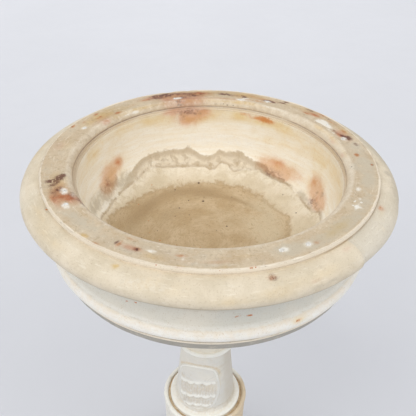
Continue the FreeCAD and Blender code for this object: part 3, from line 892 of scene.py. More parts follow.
# Soft stains on the bowl and the mouldings: (azimuth, radius, height, half width, half height, strength).
# Azimuths are in degrees and sizes in mm.
STAINS = {
    "ochre": (
        (112, 219, 962, 80, 16, 0.4), (124, 219, 974, 44, 12, 0.45), (139, 219, 972, 34, 16, 0.45),
        (157, 219, 970, 34, 20, 0.5), (166, 218, 958, 32, 26, 0.4), (178, 218, 950, 30, 26, 0.3),
        (97, 219, 966, 50, 20, 0.5), (75, 219, 972, 44, 12, 0.8), (62, 219, 970, 36, 12, 0.5),
        (50, 219, 968, 36, 16, 0.6), (36, 219, 962, 34, 20, 0.45), (22, 218, 954, 34, 28, 0.6),
        (7, 218, 952, 30, 30, 0.6), (-6, 218, 946, 30, 28, 0.5), (48, 205, 897, 50, 18, 0.6),
        (20, 207, 903, 40, 22, 0.6), (150, 208, 903, 34, 26, 0.6), (51, 217, 938, 60, 7, 0.4),
        (62, 216, 930, 50, 5, 0.3), (100, 231, 998, 90, 6, 0.7), (70, 231, 998, 50, 5, 0.7),
        (130, 231, 998, 50, 5, 0.7), (-115, 288, 989, 5, 4, 1.6), (-103, 300, 983, 50, 12, 0.5),
        (-60, 302, 982, 50, 12, 0.4), (-84, 309, 972, 40, 10, 0.4), (-140, 300, 983, 50, 10, 0.5),
        (-72, 306, 978, 26, 14, 0.5), (170, 300, 983, 50, 10, 0.6), (-25, 288, 989, 26, 6, 0.4),
        (-150, 290, 988, 40, 6, 0.5), (-60, 274, 872, 14, 6, 0.9), (-80, 262, 884, 60, 4, 0.5),
        (-50, 270, 878, 50, 3, 0.7), (-120, 262, 884, 60, 4, 0.4), (-35, 264, 884, 40, 3, 0.4),
    ),
    "pink": (
        (101, 219, 966, 32, 20, 0.8), (105, 219, 960, 18, 14, 0.5), (96, 219, 974, 24, 10, 0.8),
        (110, 220, 980, 20, 7, 1.0), (104, 229, 996, 40, 8, 1.0), (103, 232, 998, 22, 8, 0.9),
        (-24, 286, 989, 10, 8, 0.6), (-48, 288, 989, 12, 6, 0.4),
    ),
    "umber": (
        (150, 211, 911, 20, 17, 1.3), (144, 213, 917, 13, 13, 1.1), (156, 207, 900, 22, 21, 1.5),
        (161, 203, 892, 19, 15, 1.1), (51, 204, 896, 38, 17, 1.3), (46, 199, 886, 30, 13, 1.4),
        (55, 199, 887, 24, 11, 1.0), (36, 206, 898, 22, 13, 0.7), (22, 210, 907, 19, 19, 1.2),
        (17, 206, 897, 22, 19, 1.3), (12, 202, 891, 20, 18, 1.4), (7, 201, 889, 17, 15, 0.8),
        (101, 219, 964, 26, 18, 0.15),
    ),
    "rust": (
        (61, 219, 975, 16, 7, 1.6), (66, 219, 974, 16, 5, 0.9), (73, 219, 978, 16, 4, 0.7),
        (93, 219, 978, 16, 4, 0.5), (145, 213, 915, 9, 8, 0.8), (158, 205, 896, 8, 10, 0.7),
        (50, 206, 899, 20, 7, 0.6), (22, 210, 907, 10, 9, 0.6), (14, 202, 891, 9, 9, 0.5),
        (106, 219, 968, 7, 8, 0.3), (146, 231, 998, 10, 5, 1.8), (-148, 229, 996, 13, 6, 1.2),
        (-150, 277, 997, 9, 3, 1.1), (105, 230, 996, 12, 4, 1.1), (-98, 276, 999, 6, 2, 1.9),
        (-86, 277, 998, 6, 2, 0.9), (-24, 284, 990, 7, 5, 1.0), (-73, 289, 989, 7, 5, 1.0),
        (8, 228, 994, 8, 4, 0.9), (20, 229, 996, 12, 4, 0.8), (-62, 305, 978, 12, 4, 0.5),
        (-60, 274, 871, 6, 3, 1.4), (-108, 262, 884, 5, 2, 0.6),
    ),
    "plum": (
        (106, 232, 998, 6, 4, 1.9), (106, 226, 993, 7, 3, 1.4), (90, 220, 984, 50, 3, 0.8),
        (-146, 229, 996, 16, 4, 1.3), (102, 221, 980, 22, 7, 0.8), (106, 219, 966, 14, 12, 0.45),
        (97, 219, 972, 14, 5, 0.5), (52, 196, 883, 22, 10, 0.55), (45, 197, 884, 14, 8, 0.35),
        (15, 197, 883, 13, 12, 0.65), (10, 197, 884, 10, 9, 0.4), (13, 208, 903, 6, 6, 0.9),
        (156, 206, 899, 10, 13, 0.5), (151, 209, 906, 8, 8, 0.3), (-153, 232, 998, 8, 5, 0.9),
        (158, 204, 895, 6, 9, 0.3), (53, 192, 877, 14, 4, 0.5), (16, 195, 881, 10, 7, 0.4),
        (17, 206, 897, 5, 5, 0.6), (3, 284, 989, 10, 3, 0.6), (-73, 288, 989, 3, 6, 2.0),
        (-72, 292, 988, 4, 2, 1.4), (103, 219, 975, 10, 4, 0.5),
    ),
    # grey stains, and painted shade on the bowl's walls at the left and right
    "grey": (
        (-2, 294, 987, 7, 6, 1.1), (-10, 306, 975, 44, 14, 0.7), (8, 304, 978, 40, 12, 0.6),
        (165, 306, 975, 44, 14, 0.4), (-108, 257, 889, 9, 4, 0.6), (20, 296, 986, 40, 10, 0.7),
        (-150, 278, 990, 10, 3, 1.2), (-60, 310, 968, 50, 8, 0.4), (147, 198, 885, 30, 14, 0.9),
        (163, 199, 887, 30, 16, 1.0), (178, 204, 893, 28, 16, 0.9), (15, 300, 982, 60, 14, 0.8),
        (-12, 306, 974, 50, 16, 0.7), (30, 300, 982, 50, 12, 0.5), (24, 192, 878, 24, 8, 0.8),
        (5, 196, 884, 20, 12, 0.7), (48, 190, 875, 26, 4, 0.8),
    ),
    "pale": (
        (-105, 300, 982, 60, 10, 0.4), (-73, 300, 982, 30, 7, 0.3), (-45, 305, 975, 40, 8, 0.4),
        (129, 228, 995, 8, 3, 1.2), (134, 228, 995, 8, 2, 0.8), (98, 211, 920, 90, 18, 0.5),
        (70, 211, 920, 60, 14, 0.4),
    ),
    "silt_dark": (
        (150, 140, 845, 50, 18, 0.7), (118, 145, 847, 50, 14, 0.6), (175, 150, 848, 50, 24, 0.4),
        (92, 135, 843, 50, 16, 0.7), (140, 100, 837, 60, 20, 0.5), (-90, 90, 835, 90, 30, 0.4),
        (60, 125, 841, 60, 7, 0.6), (30, 130, 843, 40, 6, 0.5),
    ),
    "silt_pale": (
        (10, 120, 840, 60, 30, 0.8), (40, 140, 845, 50, 22, 0.7), (-30, 100, 836, 60, 40, 0.4),
        (70, 70, 833, 40, 30, 0.4), (25, 90, 835, 40, 26, 0.4),
    ),
}
# Stains on the flat rim: (azimuth, radius, half width along the rim, half width across it, strength).
RIM_STAINS = {
    "ochre": (
        (145, 255, 60, 16, 0.7), (137, 245, 40, 20, 0.6), (100, 258, 90, 16, 0.8), (75, 262, 60, 12, 0.9),
        (45, 264, 50, 8, 0.7), (25, 266, 30, 8, 0.6), (-129, 271, 7, 4, 1.2), (-155, 252, 34, 20, 0.8),
        (-165, 250, 20, 14, 0.6), (20, 232, 30, 5, 0.9), (8, 230, 16, 4, 1.0), (32, 233, 16, 5, 0.8),
        (-98, 274, 12, 4, 0.7), (-85, 270, 10, 5, 0.7), (-105, 262, 26, 10, 0.6), (-80, 252, 30, 6, 0.5),
        (-45, 258, 50, 14, 0.6), (-120, 245, 30, 8, 0.3), (170, 250, 30, 12, 0.4),
    ),
    "pink": (
        (104, 243, 40, 20, 0.9), (-150, 262, 24, 8, 0.6), (116, 262, 34, 10, 0.9), (105, 250, 34, 16, 1.0),
        (95, 258, 30, 12, 0.8), (146, 240, 26, 12, 0.6), (-155, 250, 26, 16, 0.9), (-149, 238, 20, 12, 0.9),
        (42, 262, 24, 8, 0.9), (22, 254, 24, 10, 0.9), (66, 258, 30, 8, 0.7), (80, 256, 24, 8, 0.6),
        (-114, 257, 18, 7, 0.8), (-98, 262, 40, 8, 0.3), (-85, 260, 20, 6, 0.4), (172, 262, 20, 12, 0.5),
    ),
    "rust": (
        (137, 240, 8, 4, 1.9), (145, 252, 9, 3, 1.4), (144, 266, 8, 3, 1.2), (152, 262, 5, 3, 0.8),
        (157, 270, 7, 3, 1.5), (-152, 250, 14, 10, 0.8), (-149, 238, 14, 10, 0.9), (-152, 265, 12, 5, 0.9),
        (45, 255, 12, 3, 1.2), (41, 261, 12, 3, 1.2), (95, 263, 12, 5, 1.4), (100, 236, 40, 7, 0.7),
        (80, 238, 40, 5, 0.7), (112, 246, 24, 7, 0.6), (70, 246, 26, 3, 1.1), (6, 250, 5, 4, 2.0),
        (-118, 257, 3, 7, 1.8), (-124, 274, 6, 3, 1.6), (-112, 256, 6, 4, 1.2), (-78, 276, 6, 2, 2.2),
        (-98, 252, 8, 3, 1.0), (32, 265, 12, 4, 1.1), (24, 264, 11, 4, 1.1), (40, 272, 14, 4, 1.2),
        (22, 250, 12, 5, 0.9), (-55, 261, 7, 5, 0.8), (-116, 241, 8, 2, 1.0), (-88, 262, 14, 5, 0.5),
        (120, 258, 14, 4, 0.9), (128, 250, 10, 4, 0.8), (72, 264, 16, 4, 0.8),
    ),
    "plum": (
        (110, 269, 7, 3, 1.8), (115, 267, 14, 4, 0.9), (104, 264, 16, 6, 0.6), (103, 243, 12, 5, 0.9),
        (97, 250, 12, 6, 0.6), (84, 259, 9, 4, 2.4), (80, 255, 16, 5, 0.6), (75, 253, 5, 4, 1.6),
        (76, 260, 8, 3, 1.0), (64, 256, 10, 4, 2.6), (58, 262, 12, 3, 1.4), (57, 270, 5, 3, 2.2),
        (45, 270, 12, 3, 1.2), (36, 270, 14, 3, 1.0), (19, 259, 7, 6, 2.6), (21, 253, 8, 4, 1.5),
        (14, 262, 7, 4, 1.0), (26, 249, 9, 4, 1.0), (-163, 262, 4, 7, 1.8), (-162, 254, 5, 7, 1.9),
        (-164, 246, 7, 7, 2.4), (-166, 239, 5, 5, 2.6), (-160, 258, 3, 9, 1.2), (-157, 249, 7, 6, 1.4),
        (-156, 260, 16, 8, 0.6), (-150, 236, 12, 8, 0.7), (110, 262, 26, 9, 1.0), (98, 258, 26, 9, 0.9),
        (88, 262, 30, 8, 0.5), (115, 256, 18, 8, 0.8), (105, 246, 14, 6, 0.7), (62, 255, 14, 5, 0.7),
        (-112, 257, 5, 4, 1.3), (-119, 256, 2, 6, 1.3), (148, 254, 8, 5, 0.6), (-1, 268, 4, 3, 1.4),
        (-103, 250, 12, 4, 0.5),
    ),
    # grey stains, partly painted shade on the rim's front right
    "grey": (
        (-43, 256, 24, 10, 1.1), (-52, 262, 18, 8, 0.8), (-3, 236, 9, 6, 1.2), (84, 256, 30, 8, 0.9),
        (0, 255, 30, 16, 1.0), (-12, 258, 24, 14, 1.0), (12, 258, 24, 12, 0.8), (-25, 262, 30, 10, 0.5),
        (-135, 256, 44, 12, 0.9), (-114, 264, 18, 6, 0.9), (-170, 262, 24, 12, 0.4),
        (-64, 256, 16, 10, 0.7), (-90, 268, 50, 6, 0.6), (160, 262, 40, 8, 0.5), (-55, 262, 60, 14, 0.7),
        (-35, 262, 40, 14, 0.7), (-66, 250, 40, 12, 0.5),
    ),
    "pale": (
        (-66, 252, 4, 3, 0.6), (-97, 257, 1.6, 9, 0.8), (-93, 264, 1.6, 5, 0.5), (-107, 254, 6, 3, 0.7),
        (-30, 255, 10, 3, 0.8), (-30, 255, 3, 8, 0.8), (-25, 252, 4, 3, 0.7), (32, 250, 13, 4, 1.2),
        (36, 247, 8, 3, 1.2), (28, 243, 6, 2, 0.9), (106, 243, 6, 2, 0.4), (75, 240, 20, 3, 0.5),
        (60, 232, 30, 4, 0.6), (-88, 258, 6, 3, 0.3), (106, 243, 9, 4, 1.3), (76, 240, 7, 4, 1.0),
        (74, 248, 7, 3, 1.0), (64, 254, 8, 4, 0.9), (35, 254, 11, 6, 1.3), (31, 251, 8, 4, 1.1),
        (19, 250, 7, 5, 1.0), (-155, 244, 9, 6, 1.1), (-146, 254, 9, 5, 1.1), (-108, 252, 8, 3, 0.5),
        (-66, 253, 7, 6, 0.9), (-58, 258, 7, 6, 0.9), (-19, 245, 7, 5, 0.8), (156, 249, 7, 5, 0.9),
        (-88, 266, 10, 5, 0.35),
    ),
}
# How dark the groove between the rim's face and the torus is painted, by azimuth in degrees: dirt and
# painted shade, faint at the front where light falls into it.
QUIRK_SHADE_AND_DIRT = (
    (0, 0.9), (60, 0.8), (120, 0.8), (180, 0.6), (210, 0.25), (250, 0.1), (290, 0.2), (310, 0.8),
    (340, 0.9),
)
# How dark the crease under the mouth's rounding is, by azimuth in degrees: a line of dirt and painted
# shade.
CREASE_STRENGTH = (
    (0, 0.9), (20, 0.9), (50, 0.5), (80, 0.6), (105, 0.8), (130, 0.8), (160, 1.1), (200, 1.4), (212, 1.6),
    (222, 0.5), (270, 0.2), (330, 0.4),
)
# Small pits and rust spots: (azimuth degrees, radius, height, dot radius), in mm.
DARK_DOTS = (
    (123, 105, 837, 2.4), (96, 112, 838, 3.2), (49, 52, 832, 2.4), (98, 157, 851, 3.2),
    (117, 150, 848, 2.0), (36, 176, 862, 1.8), (17, 170, 858, 1.8), (141, 213, 923, 2.0),
    (130, 258, 1000, 2.2), (57, 270, 1000, 2.0), (83, 258, 1000, 2.2), (80, 260, 1000, 1.8),
    (82, 226, 991, 1.5), (84, 227, 993, 1.3), (79, 226, 992, 1.5), (-3, 233, 999, 1.8),
    (-1, 268, 1000, 2.0), (157, 272, 1000, 2.0), (155, 204, 897, 2.2), (40, 274, 1000, 1.6),
    (118, 80, 834, 1.8), (135, 90, 835, 1.6), (170, 95, 836, 1.8), (-175, 120, 840, 1.6),
    (70, 130, 842, 1.6), (30, 100, 837, 1.6), (60, 30, 832, 1.8), (-60, 60, 833, 1.6), (-110, 80, 834, 1.6),
    (110, 118, 839, 1.8), (122, 100, 837, 1.6), (125, 108, 838, 1.8), (84, 92, 836, 1.5),
    (146, 118, 840, 1.6), (-20, 110, 838, 1.5),
)
RUST_DOTS = (
    (131, 173, 860, 2.0), (-104, 277, 998, 1.8), (-113.8, 254.2, 894, 1.4), (-112, 272, 1000, 1.2),
    (-1, 268, 1000, 2.6), (-61, 274, 871, 2.6), (-91, 254, 1000, 1.3), (-87, 256, 1000, 1.3),
    (-173, 88, 835, 2.4), (-160, 60, 833, 2.0), (176, 108, 838, 2.2), (-150, 278, 990, 2.4),
    (30, 215, 955, 1.5), (-120, 28, 832, 1.8), (-80.6, 255.5, 889.8, 2.0), (-80.2, 255.4, 889.9, 1.9),
    (-79.8, 255.3, 890.0, 1.7), (-79.1, 255.2, 890.2, 1.4), (-76.8, 255.4, 889.5, 1.8),
    (-76.3, 255.4, 889.5, 2.0), (-75.8, 255.4, 889.4, 2.0), (-75.3, 255.3, 889.3, 1.7),
    (-117.6, 254.7, 890.9, 1.7), (-117.2, 254.6, 891.1, 1.5), (-114.5, 253.7, 893.4, 1.5),
    (-114.0, 253.6, 893.5, 1.7), (-60.8, 273.3, 871.7, 2.6), (-60.2, 273.4, 871.3, 2.4),
    (-78.4, 276.5, 998.9, 1.7), (-78, 276.5, 998.9, 1.9), (-76.9, 276.5, 998.9, 1.7),
    (-86.7, 277.5, 997.9, 1.6), (160, 120, 840, 1.6), (-150, 110, 838, 1.8), (-165, 130, 843, 1.5),
    (150, 155, 850, 1.6), (-140, 90, 835, 1.5), (-100, 60, 833, 1.4),
)


def basin_material():
    shader = Shader("basin_marble")
    step, times, plus, mask, stain = shader.step, shader.times, shader.plus, shader.attribute, shader.stain
    cloud = shader.grain(0.15, 5.0, 0.6, 0.4)
    mottle = shader.grain(0.040, 6.0, 0.62, 0.4, shift=3.0)
    blotch = shader.grain(0.014, 5.0, 0.65, 0.6, shift=4.0)
    clots = shader.grain(0.007, 4.0, 0.7, 0.8, shift=4.5)
    fleck = shader.grain(0.0055, 4.0, 0.65, 0.2, shift=5.0)
    grit = shader.grain(0.0020, 3.0, 0.6, shift=8.0)
    drips = shader.grain(0.014, 3.0, 0.55, 0.6, shift=9.0)
    rings = shader.grain(0.050, 5.0, 0.62, 0.2, shader.band_place(7.0), 2.0)
    streaks = shader.grain(0.020, 4.0, 0.6, 0.1, shader.band_place(6.0), 6.0)
    combed = shader.grain(0.010, 4.0, 0.65, 0.1, shader.band_place(5.0), 7.0)
    bowl_zone = mask("bowl_zone")

    # the marble of each zone, with a painted highlight on the roll, painted shade on the underside, dirt
    # and painted shade on the ledge, and the rim's face pale for wear and as a painted highlight
    below = shader.layers(
        shader.mix(step(cloud, 0.1, 0.9), BELOW_COOL, BELOW_WARM),
        # painted highlight on the roll
        (times(mask("roll"), 0.9), ROLL_HIGHLIGHT),
        (step(streaks, 0.55, 1.1, 0.35), BELOW_STREAK),
        # painted shade on the underside
        (mask("shaded_underside"), UNDERSIDE_SHADE),
    )
    band = shader.layers(
        shader.mix(step(mottle, 0.0, 1.0), BAND_DEEP, BAND_LIGHT),
        (step(cloud, 0.5, 1.0, 0.6), BAND_WHITE),
        (times(mask("repair"), 0.8), REPAIR),
        (step(blotch, 0.55, 1.0, 0.4), BAND_DEEP),
        (step(streaks, 0.4, 0.0, 0.4), BAND_WHITE),
        (step(fleck, 0.62, 1.0, 0.35), RIM_GREY),
    )
    rim = shader.layers(
        shader.mix(step(mottle, 0.0, 1.0), RIM_DEEP, RIM_LIGHT),
        (step(cloud, 0.45, 1.0, 0.6), RIM_GREY),
        (step(blotch, 0.5, 0.9, 0.5), RIM_GREY),
        (step(streaks, 0.35, 0.0, 0.5), RIM_CHALK),
        (step(fleck, 0.6, 0.95, 0.5), RIM_SPECK),
        (step(fleck, 0.35, 0.0, 0.45), RIM_CHALK),
    )
    mouth = shader.mix(step(rings, 0.0, 1.0), MOUTH_DEEP, MOUTH_LIGHT)
    mouth = shader.mix(step(blotch, 0.6, 1.1, 0.4), mouth, RIM_GREY)
    wall = shader.layers(
        shader.mix(step(rings, 0.0, 1.0), WALL_DEEP, WALL_LIGHT),
        (step(mottle, 0.5, 1.1, 0.45), WALL_TAN),
        # dirt and painted shade on the ledge
        (times(mask("ledge"), 0.85), LEDGE),
    )
    colour = shader.layers(
        below,
        (mask("band_zone"), band),
        (mask("rim_zone"), rim),
        # the rim's face, pale for wear and as a painted highlight
        (mask("face_zone"), WORN_AND_HIGHLIGHT),
        (mask("mouth_zone"), mouth),
        (bowl_zone, wall),
    )

    # the tan crust above the water line, darkest along its ragged top
    tide = plus(mask("tide"), blotch, 0.35)
    over = step(tide, -0.05, 0.1)
    crust_depth = plus(plus(mask("crust"), mottle, 0.8), drips, 0.45)
    crust = times(step(crust_depth, -0.3, 0.3), over)
    colour = shader.layers(
        colour,
        (times(crust, step(mottle, -0.2, 0.8, 0.75)), CRUST_LIGHT),
        (times(step(blotch, 0.5, 0.2), step(crust_depth, 0.6, 1.2), over, 0.7), CRUST_PALE),
        (times(step(crust_depth, -0.2, 0.15), step(crust_depth, 1.3, 0.55), over, 0.75), CRUST_GREY),
        (times(step(drips, 0.5, 0.75), crust, 0.7), CRUST_GREY),
        (times(step(blotch, 0.68, 0.85), crust, 0.4), CRUST_LINE),
        # grey stains, partly painted shade
        (stain("grey", blotch, 1.2, 0.12, 0.95, 0.85), GREY_STAIN_AND_SHADE),
    )

    # rust and the other stains, with dark freckles in the pink ones
    colour = shader.soak(
        colour,
        (stain("ochre", mottle, 1.2, 0.05, 1.2, 0.9), OCHRE),
        (stain("pink", mottle, 1.2, 0.05, 1.2, 0.85), PINK),
        (stain("umber", blotch, 0.8, 0.1, 1.5, 0.95), UMBER),
        (stain("rust", blotch, 1.6, 0.05, 1.5, 0.95), RUST),
        (stain("plum", clots, 1.8, 0.1, 1.7, 0.95), PLUM),
        (times(step(clots, 0.8, 1.05, 0.7), step(mask("pink"), 0.2, 0.8)), PLUM),
    )

    # pale deposit below the water line, brown silt on the floor
    deposit = shader.layers(
        shader.mix(step(mottle, 0.1, 1.0), DEPOSIT_DEEP, DEPOSIT_LIGHT),
        (step(fleck, 0.6, 1.1, 0.4), SILT_LIGHT),
        (times(step(tide, -1.6, -0.3), step(blotch, 0.2, 0.7, 0.7)), DEPOSIT_PALE),
    )
    silt_depth = plus(plus(mask("silt"), mottle, 2.2), blotch, 1.3)
    silt = shader.layers(
        shader.mix(step(mottle, 0.1, 0.9), SILT_DEEP, SILT_LIGHT),
        (step(streaks, 0.45, 0.9, 0.5), SILT_DEEP),
        (step(combed, 0.5, 0.95, 0.45), SILT_DARK),
        (step(combed, 0.3, 0.0, 0.4), DEPOSIT_DEEP),
        (stain("silt_dark", mottle, 0.8, 0.1, 1.0, 0.8), SILT_DARK),
        (stain("silt_pale", blotch, 0.9, 0.1, 1.0, 0.75), DEPOSIT_DEEP),
        (step(fleck, 0.65, 1.0, 0.55), SILT_DARK),
        (step(clots, 0.8, 1.0, 0.5), SILT_SPOT),
        (times(step(silt_depth, 0.1, 0.4), step(silt_depth, 1.1, 0.6), 0.35), SILT_DARK),
    )
    pale_edges = step(plus(mask("wear_and_highlight"), blotch, 0.35), 0.12, 0.6, 0.8)
    colour = shader.layers(
        colour,
        (times(step(tide, 0.08, -0.12), 0.92), deposit),
        (times(step(tide, -0.15, 0.0), step(tide, 0.55, 0.1), step(mottle, 0.0, 0.6), 0.5), CRUST_LINE),
        (step(silt_depth, -0.6, 0.9), silt),
        (stain("pale", fleck, 1.2, 0.1, 0.9, 0.85), PALE),
        # edges pale for wear and as a painted highlight
        (times(pale_edges, shader.without(bowl_zone)), WORN_AND_HIGHLIGHT),
    )

    # dirt and painted shade in the corners, warm on the rim and the torus and cool below them, then a
    # painted shadow under the torus and on the top of the cove
    warm_zone = shader.math("ADD", mask("band_zone"), mask("rim_zone"))
    warm_zone = shader.math("ADD", warm_zone, bowl_zone, clamp=True)
    grime_and_shade = step(plus(mask("corner_dirt_and_shade"), blotch, 0.3), 0.25, 1.1, 0.6)
    colour = shader.soak(
        colour,
        (times(grime_and_shade, shader.without(times(bowl_zone, 0.7))), shader.mix(warm_zone, COOL_GRIME_AND_SHADE, GRIME_AND_CORNER_SHADE)),
        # painted shadow under the torus and on the top of the cove
        (times(mask("shadow_under_torus"), 0.9), TORUS_SHADOW),
    )
    # a line of dirt and painted shade along the crease
    colour = shader.mix(stain("crease", blotch, 1.2, 0.1, 0.8, 0.8), colour, CREASE)
    wavy = shader.wavy_place(0.004, 0.0012)
    colour = shader.spots(colour, DARK_DOT, DARK_DOTS, wavy)
    colour = shader.spots(colour, RUST_DOT, RUST_DOTS, wavy)
    colour = shader.soak(colour, (step(grit, 0.6, 1.1, 0.45), GRIME_AND_CORNER_SHADE))

    crusty = times(bowl_zone, step(tide, 2.5, -0.5))
    lumps = times(fleck, shader.math("ADD", times(crusty, 0.8), 0.25))
    return shader.finish(colour, (mottle, *SHEEN), ((lumps, STONE_BUMP), (grit, GRIT_BUMP)))


# =====================================================================================================
# The shaft: a worn shield of scalloped bands on the cone
# =====================================================================================================
SHIELD_AZIMUTH = -110.0
SHIELD_Z = 0.476
SHIELD_RELIEF = 0.0034
SHIELD_OUTLINE = (
    (-40, 35), (-28, 52), (-12, 62), (8, 65.5), (25, 63), (37, 52), (44, 23), (47, 0), (46, -22), (40, -46),
    (22, -61), (-12, -64), (-32, -58), (-41, -40), (-43.5, -12), (-43, 12),
)
# How far the carved rows rise, mm, at places across the shield, mm.
ROW_PLACES = (-33.0, -14.0, 8.0, 35.0)
ROW_RISES = (-5.0, 1.0, 9.0, 7.5)
# The carved rows: height of each row's foot above the shield's middle, and its own height, mm.
SHIELD_TIERS = ((11.0, 13.0), (-27.0, 12.0), (-52.0, 9.0), (-63.0, 6.0))
FLUTED_BANDS = ((-14.0, 8.0), (-42.0, -30.0))
SCALLOP = 17.0           # width of one scallop
FLUTE = 6.0


def closed_spline(points, steps=8):
    """Smooth closed curve through the points."""
    p = np.array(points, float)
    out = []
    for i in range(len(p)):
        a, b, c, d = p[i - 1], p[i], p[(i + 1) % len(p)], p[(i + 2) % len(p)]
        for k in range(steps):
            t = k / steps
            square, cube = (2 * a - 5 * b + 4 * c - d) * t**2, (3 * b - a - 3 * c + d) * t**3
            out.append(0.5 * (2 * b + (c - a) * t + square + cube))
    return np.array(out)


def depth_inside(x, y, outline):
    """Distance in from the closed outline, negative outside it."""
    gap = np.full(x.shape, 1e9)
    inside = np.zeros(x.shape, bool)
    for (x0, y0), (x1, y1) in zip(outline, np.roll(outline, -1, axis=0)):
        dx, dy = x1 - x0, y1 - y0
        share = np.clip(((x - x0) * dx + (y - y0) * dy) / (dx**2 + dy**2), 0, 1)
        gap = np.minimum(gap, np.hypot(x - x0 - share * dx, y - y0 - share * dy))
        crossed = (y0 > y) != (y1 > y)
        inside ^= crossed & (x < dx * (y - y0) / (dy + 1e-12) + x0)
    return np.where(inside, gap, -gap)


def shield_place(azimuth, radius, height):
    """Distance in mm to the right of the shield's middle and above it, and whether a point is near it."""
    turn = turn_from(math.radians(SHIELD_AZIMUTH), azimuth)
    return np.sin(np.clip(turn, -1.5, 1.5)) * radius * 1000, (height - SHIELD_Z) * 1000, np.abs(turn) < 1.2


def shield_height(azimuth, radius, height):
    """Relief of the shield above the cone, in metres."""
    x, y, front = shield_place(azimuth, radius, height)
    inward = np.where(front, depth_inside(x, y, closed_spline(SHIELD_OUTLINE)), -99.0)
    inner = smooth(2.8, 4.6, inward)
    field = (0.5 + 0.4 * smooth(10, 45, y)) * smooth(0.0, 1.4, inward) * (1 - inner) + 0.22 * inner
    within = smooth(5.0, 8.0, inward)
    tiers = np.zeros_like(x)
    for low, tall in SHIELD_TIERS:
        bow = 1 - (((x + 3.0) / SCALLOP % 1.0) * 2 - 1) ** 2
        swag = low - 3.5 * bow + np.interp(x, ROW_PLACES, ROW_RISES)
        up = (y - swag) / tall
        tiers = np.maximum(tiers, smooth(-0.12, 0.10, up) * smooth(1.0, 0.3, up) * (0.55 + 0.45 * bow))
    flutes = np.zeros_like(x)
    for low, high in FLUTED_BANDS:
        within_band = smooth(low - 3, low, y) * smooth(high + 3, high, y)
        flutes += 0.2 * np.sin(x * 2 * math.pi / FLUTE) * within_band
    return SHIELD_RELIEF * np.clip(field + within * (0.78 * tiers + flutes), 0.0, 1.0)


def shaft_carving():
    """The shield's relief, tool marks on the cone round it, and the chipped edges."""
    broad = Ripple(SEED + 10, 0.06)
    fine = Ripple(SEED + 11, 0.012, 14)
    edges = (((0.0610, ASTRAGAL_Z), 7), ((FOOT_R, FOOT_TOP), 14), ((SHAFT_HIGH.x, 0.760), 12))

    def carve(azimuth, radius, height):
        on_cone = smooth(FOOT_TOP, FOOT_TOP + 0.004, height) * (radius > 0.04)
        on_cone *= smooth(CONE_TOP[1], CONE_TOP[1] - 0.006, height)
        raised = shield_height(azimuth, radius, height) * on_cone
        small = fine(azimuth, radius, height)
        tooling = 0.00022 * (1 + np.sin(azimuth * 74 + 2.2 * broad(azimuth, radius, height * 0.3)))
        depth = 0.00025 * (1 + broad(azimuth, radius, height)) + 0.0001 * (1 + small)
        depth += on_cone * tooling * (raised < 1e-5)
        depth += raised * 0.10 * (1 + small)
        for i, (edge, count) in enumerate(edges):
            depth += chips(azimuth, radius, height, edge, count, (0.0015, 0.0045), SEED + 20 + i)
        return depth - raised

    return carve


def shaft_turns():
    """Azimuths of the shaft's mesh columns, packed closer over the shield."""
    middle = math.radians(SHIELD_AZIMUTH)
    close = np.arange(-63.0, 63.0, 0.6)
    open_side = np.arange(63.0, 297.0, 1.6)
    return middle + np.radians(np.concatenate([close, open_side]))


def paint_shaft(stone):
    """Marks out the shield's border, pale as a painted highlight, its groove, its hollows, dark with dirt
    and painted shade, the astragal and foot ring, pale for wear and as a painted highlight, and the shaded
    side.
    """
    radius, height = stone.radius, stone.height
    x, y, front = shield_place(stone.azimuth, radius, height)
    on_cone = front & (height > FOOT_TOP) & (height < 0.566) & (radius > 0.04)
    inward = np.where(on_cone, depth_inside(x, y, closed_spline(SHIELD_OUTLINE)), -99.0)
    relief = shield_height(stone.azimuth, radius, height) * on_cone / SHIELD_RELIEF
    stone.paint("shield", relief)
    above = smooth(20, 45, y) * smooth(-8.0, -3.0, inward) * smooth(0.0, -1.5, inward)
    around = smooth(-3.0, -0.5, inward) * smooth(1.5, 0.0, inward)
    stone.paint("groove", np.maximum(above * 0.65, around * 0.35))
    # painted highlight along the shield's border, strongest at its top
    border = smooth(0.0, 0.8, inward) * smooth(3.6, 2.4, inward)
    stone.paint("border", border * (0.05 + 0.8 * smooth(20, 50, y)))
    # dirt and painted shade in the shield's hollows
    stone.paint("hollow", smooth(4.5, 7.0, inward) * smooth(26, 18, y) * smooth(0.62, 0.30, relief))
    # the corners' dirt and painted shade kept light round the astragal and the neck
    calm = smooth(0.570, 0.576, height) * smooth(0.680, 0.640, height)
    stone.paint("corner_dirt_and_shade", stone.corner_dirt_and_shade * (1 - 0.8 * calm))
    # painted highlight, with wear, on the astragal and the foot ring
    astragal = smooth(0.0545, 0.0570, radius) * smooth(0.5745, 0.5760, height)
    astragal *= smooth(0.5870, 0.5850, height)
    foot_ring = smooth(0.4035, 0.4055, height) * smooth(0.414, 0.409, height) * (radius > 0.066)
    stone.paint("bright", np.maximum(astragal, foot_ring))
    stone.marks("rust", ((-99, 53, 511, 2.5, 2, 1.3), (-60, 60, 455, 3, 2, 0.8), (-20, 74, 408, 6, 3, 0.8)))
    stone.paint("neck", smooth(0.574, 0.586, height) * smooth(0.700, 0.640, height))
    turn = np.degrees(stone.azimuth) % 360
    stone.paint("shade_side", (smooth(272, 345, turn) + smooth(60, 10, turn)) * (height < ASTRAGAL_Z))


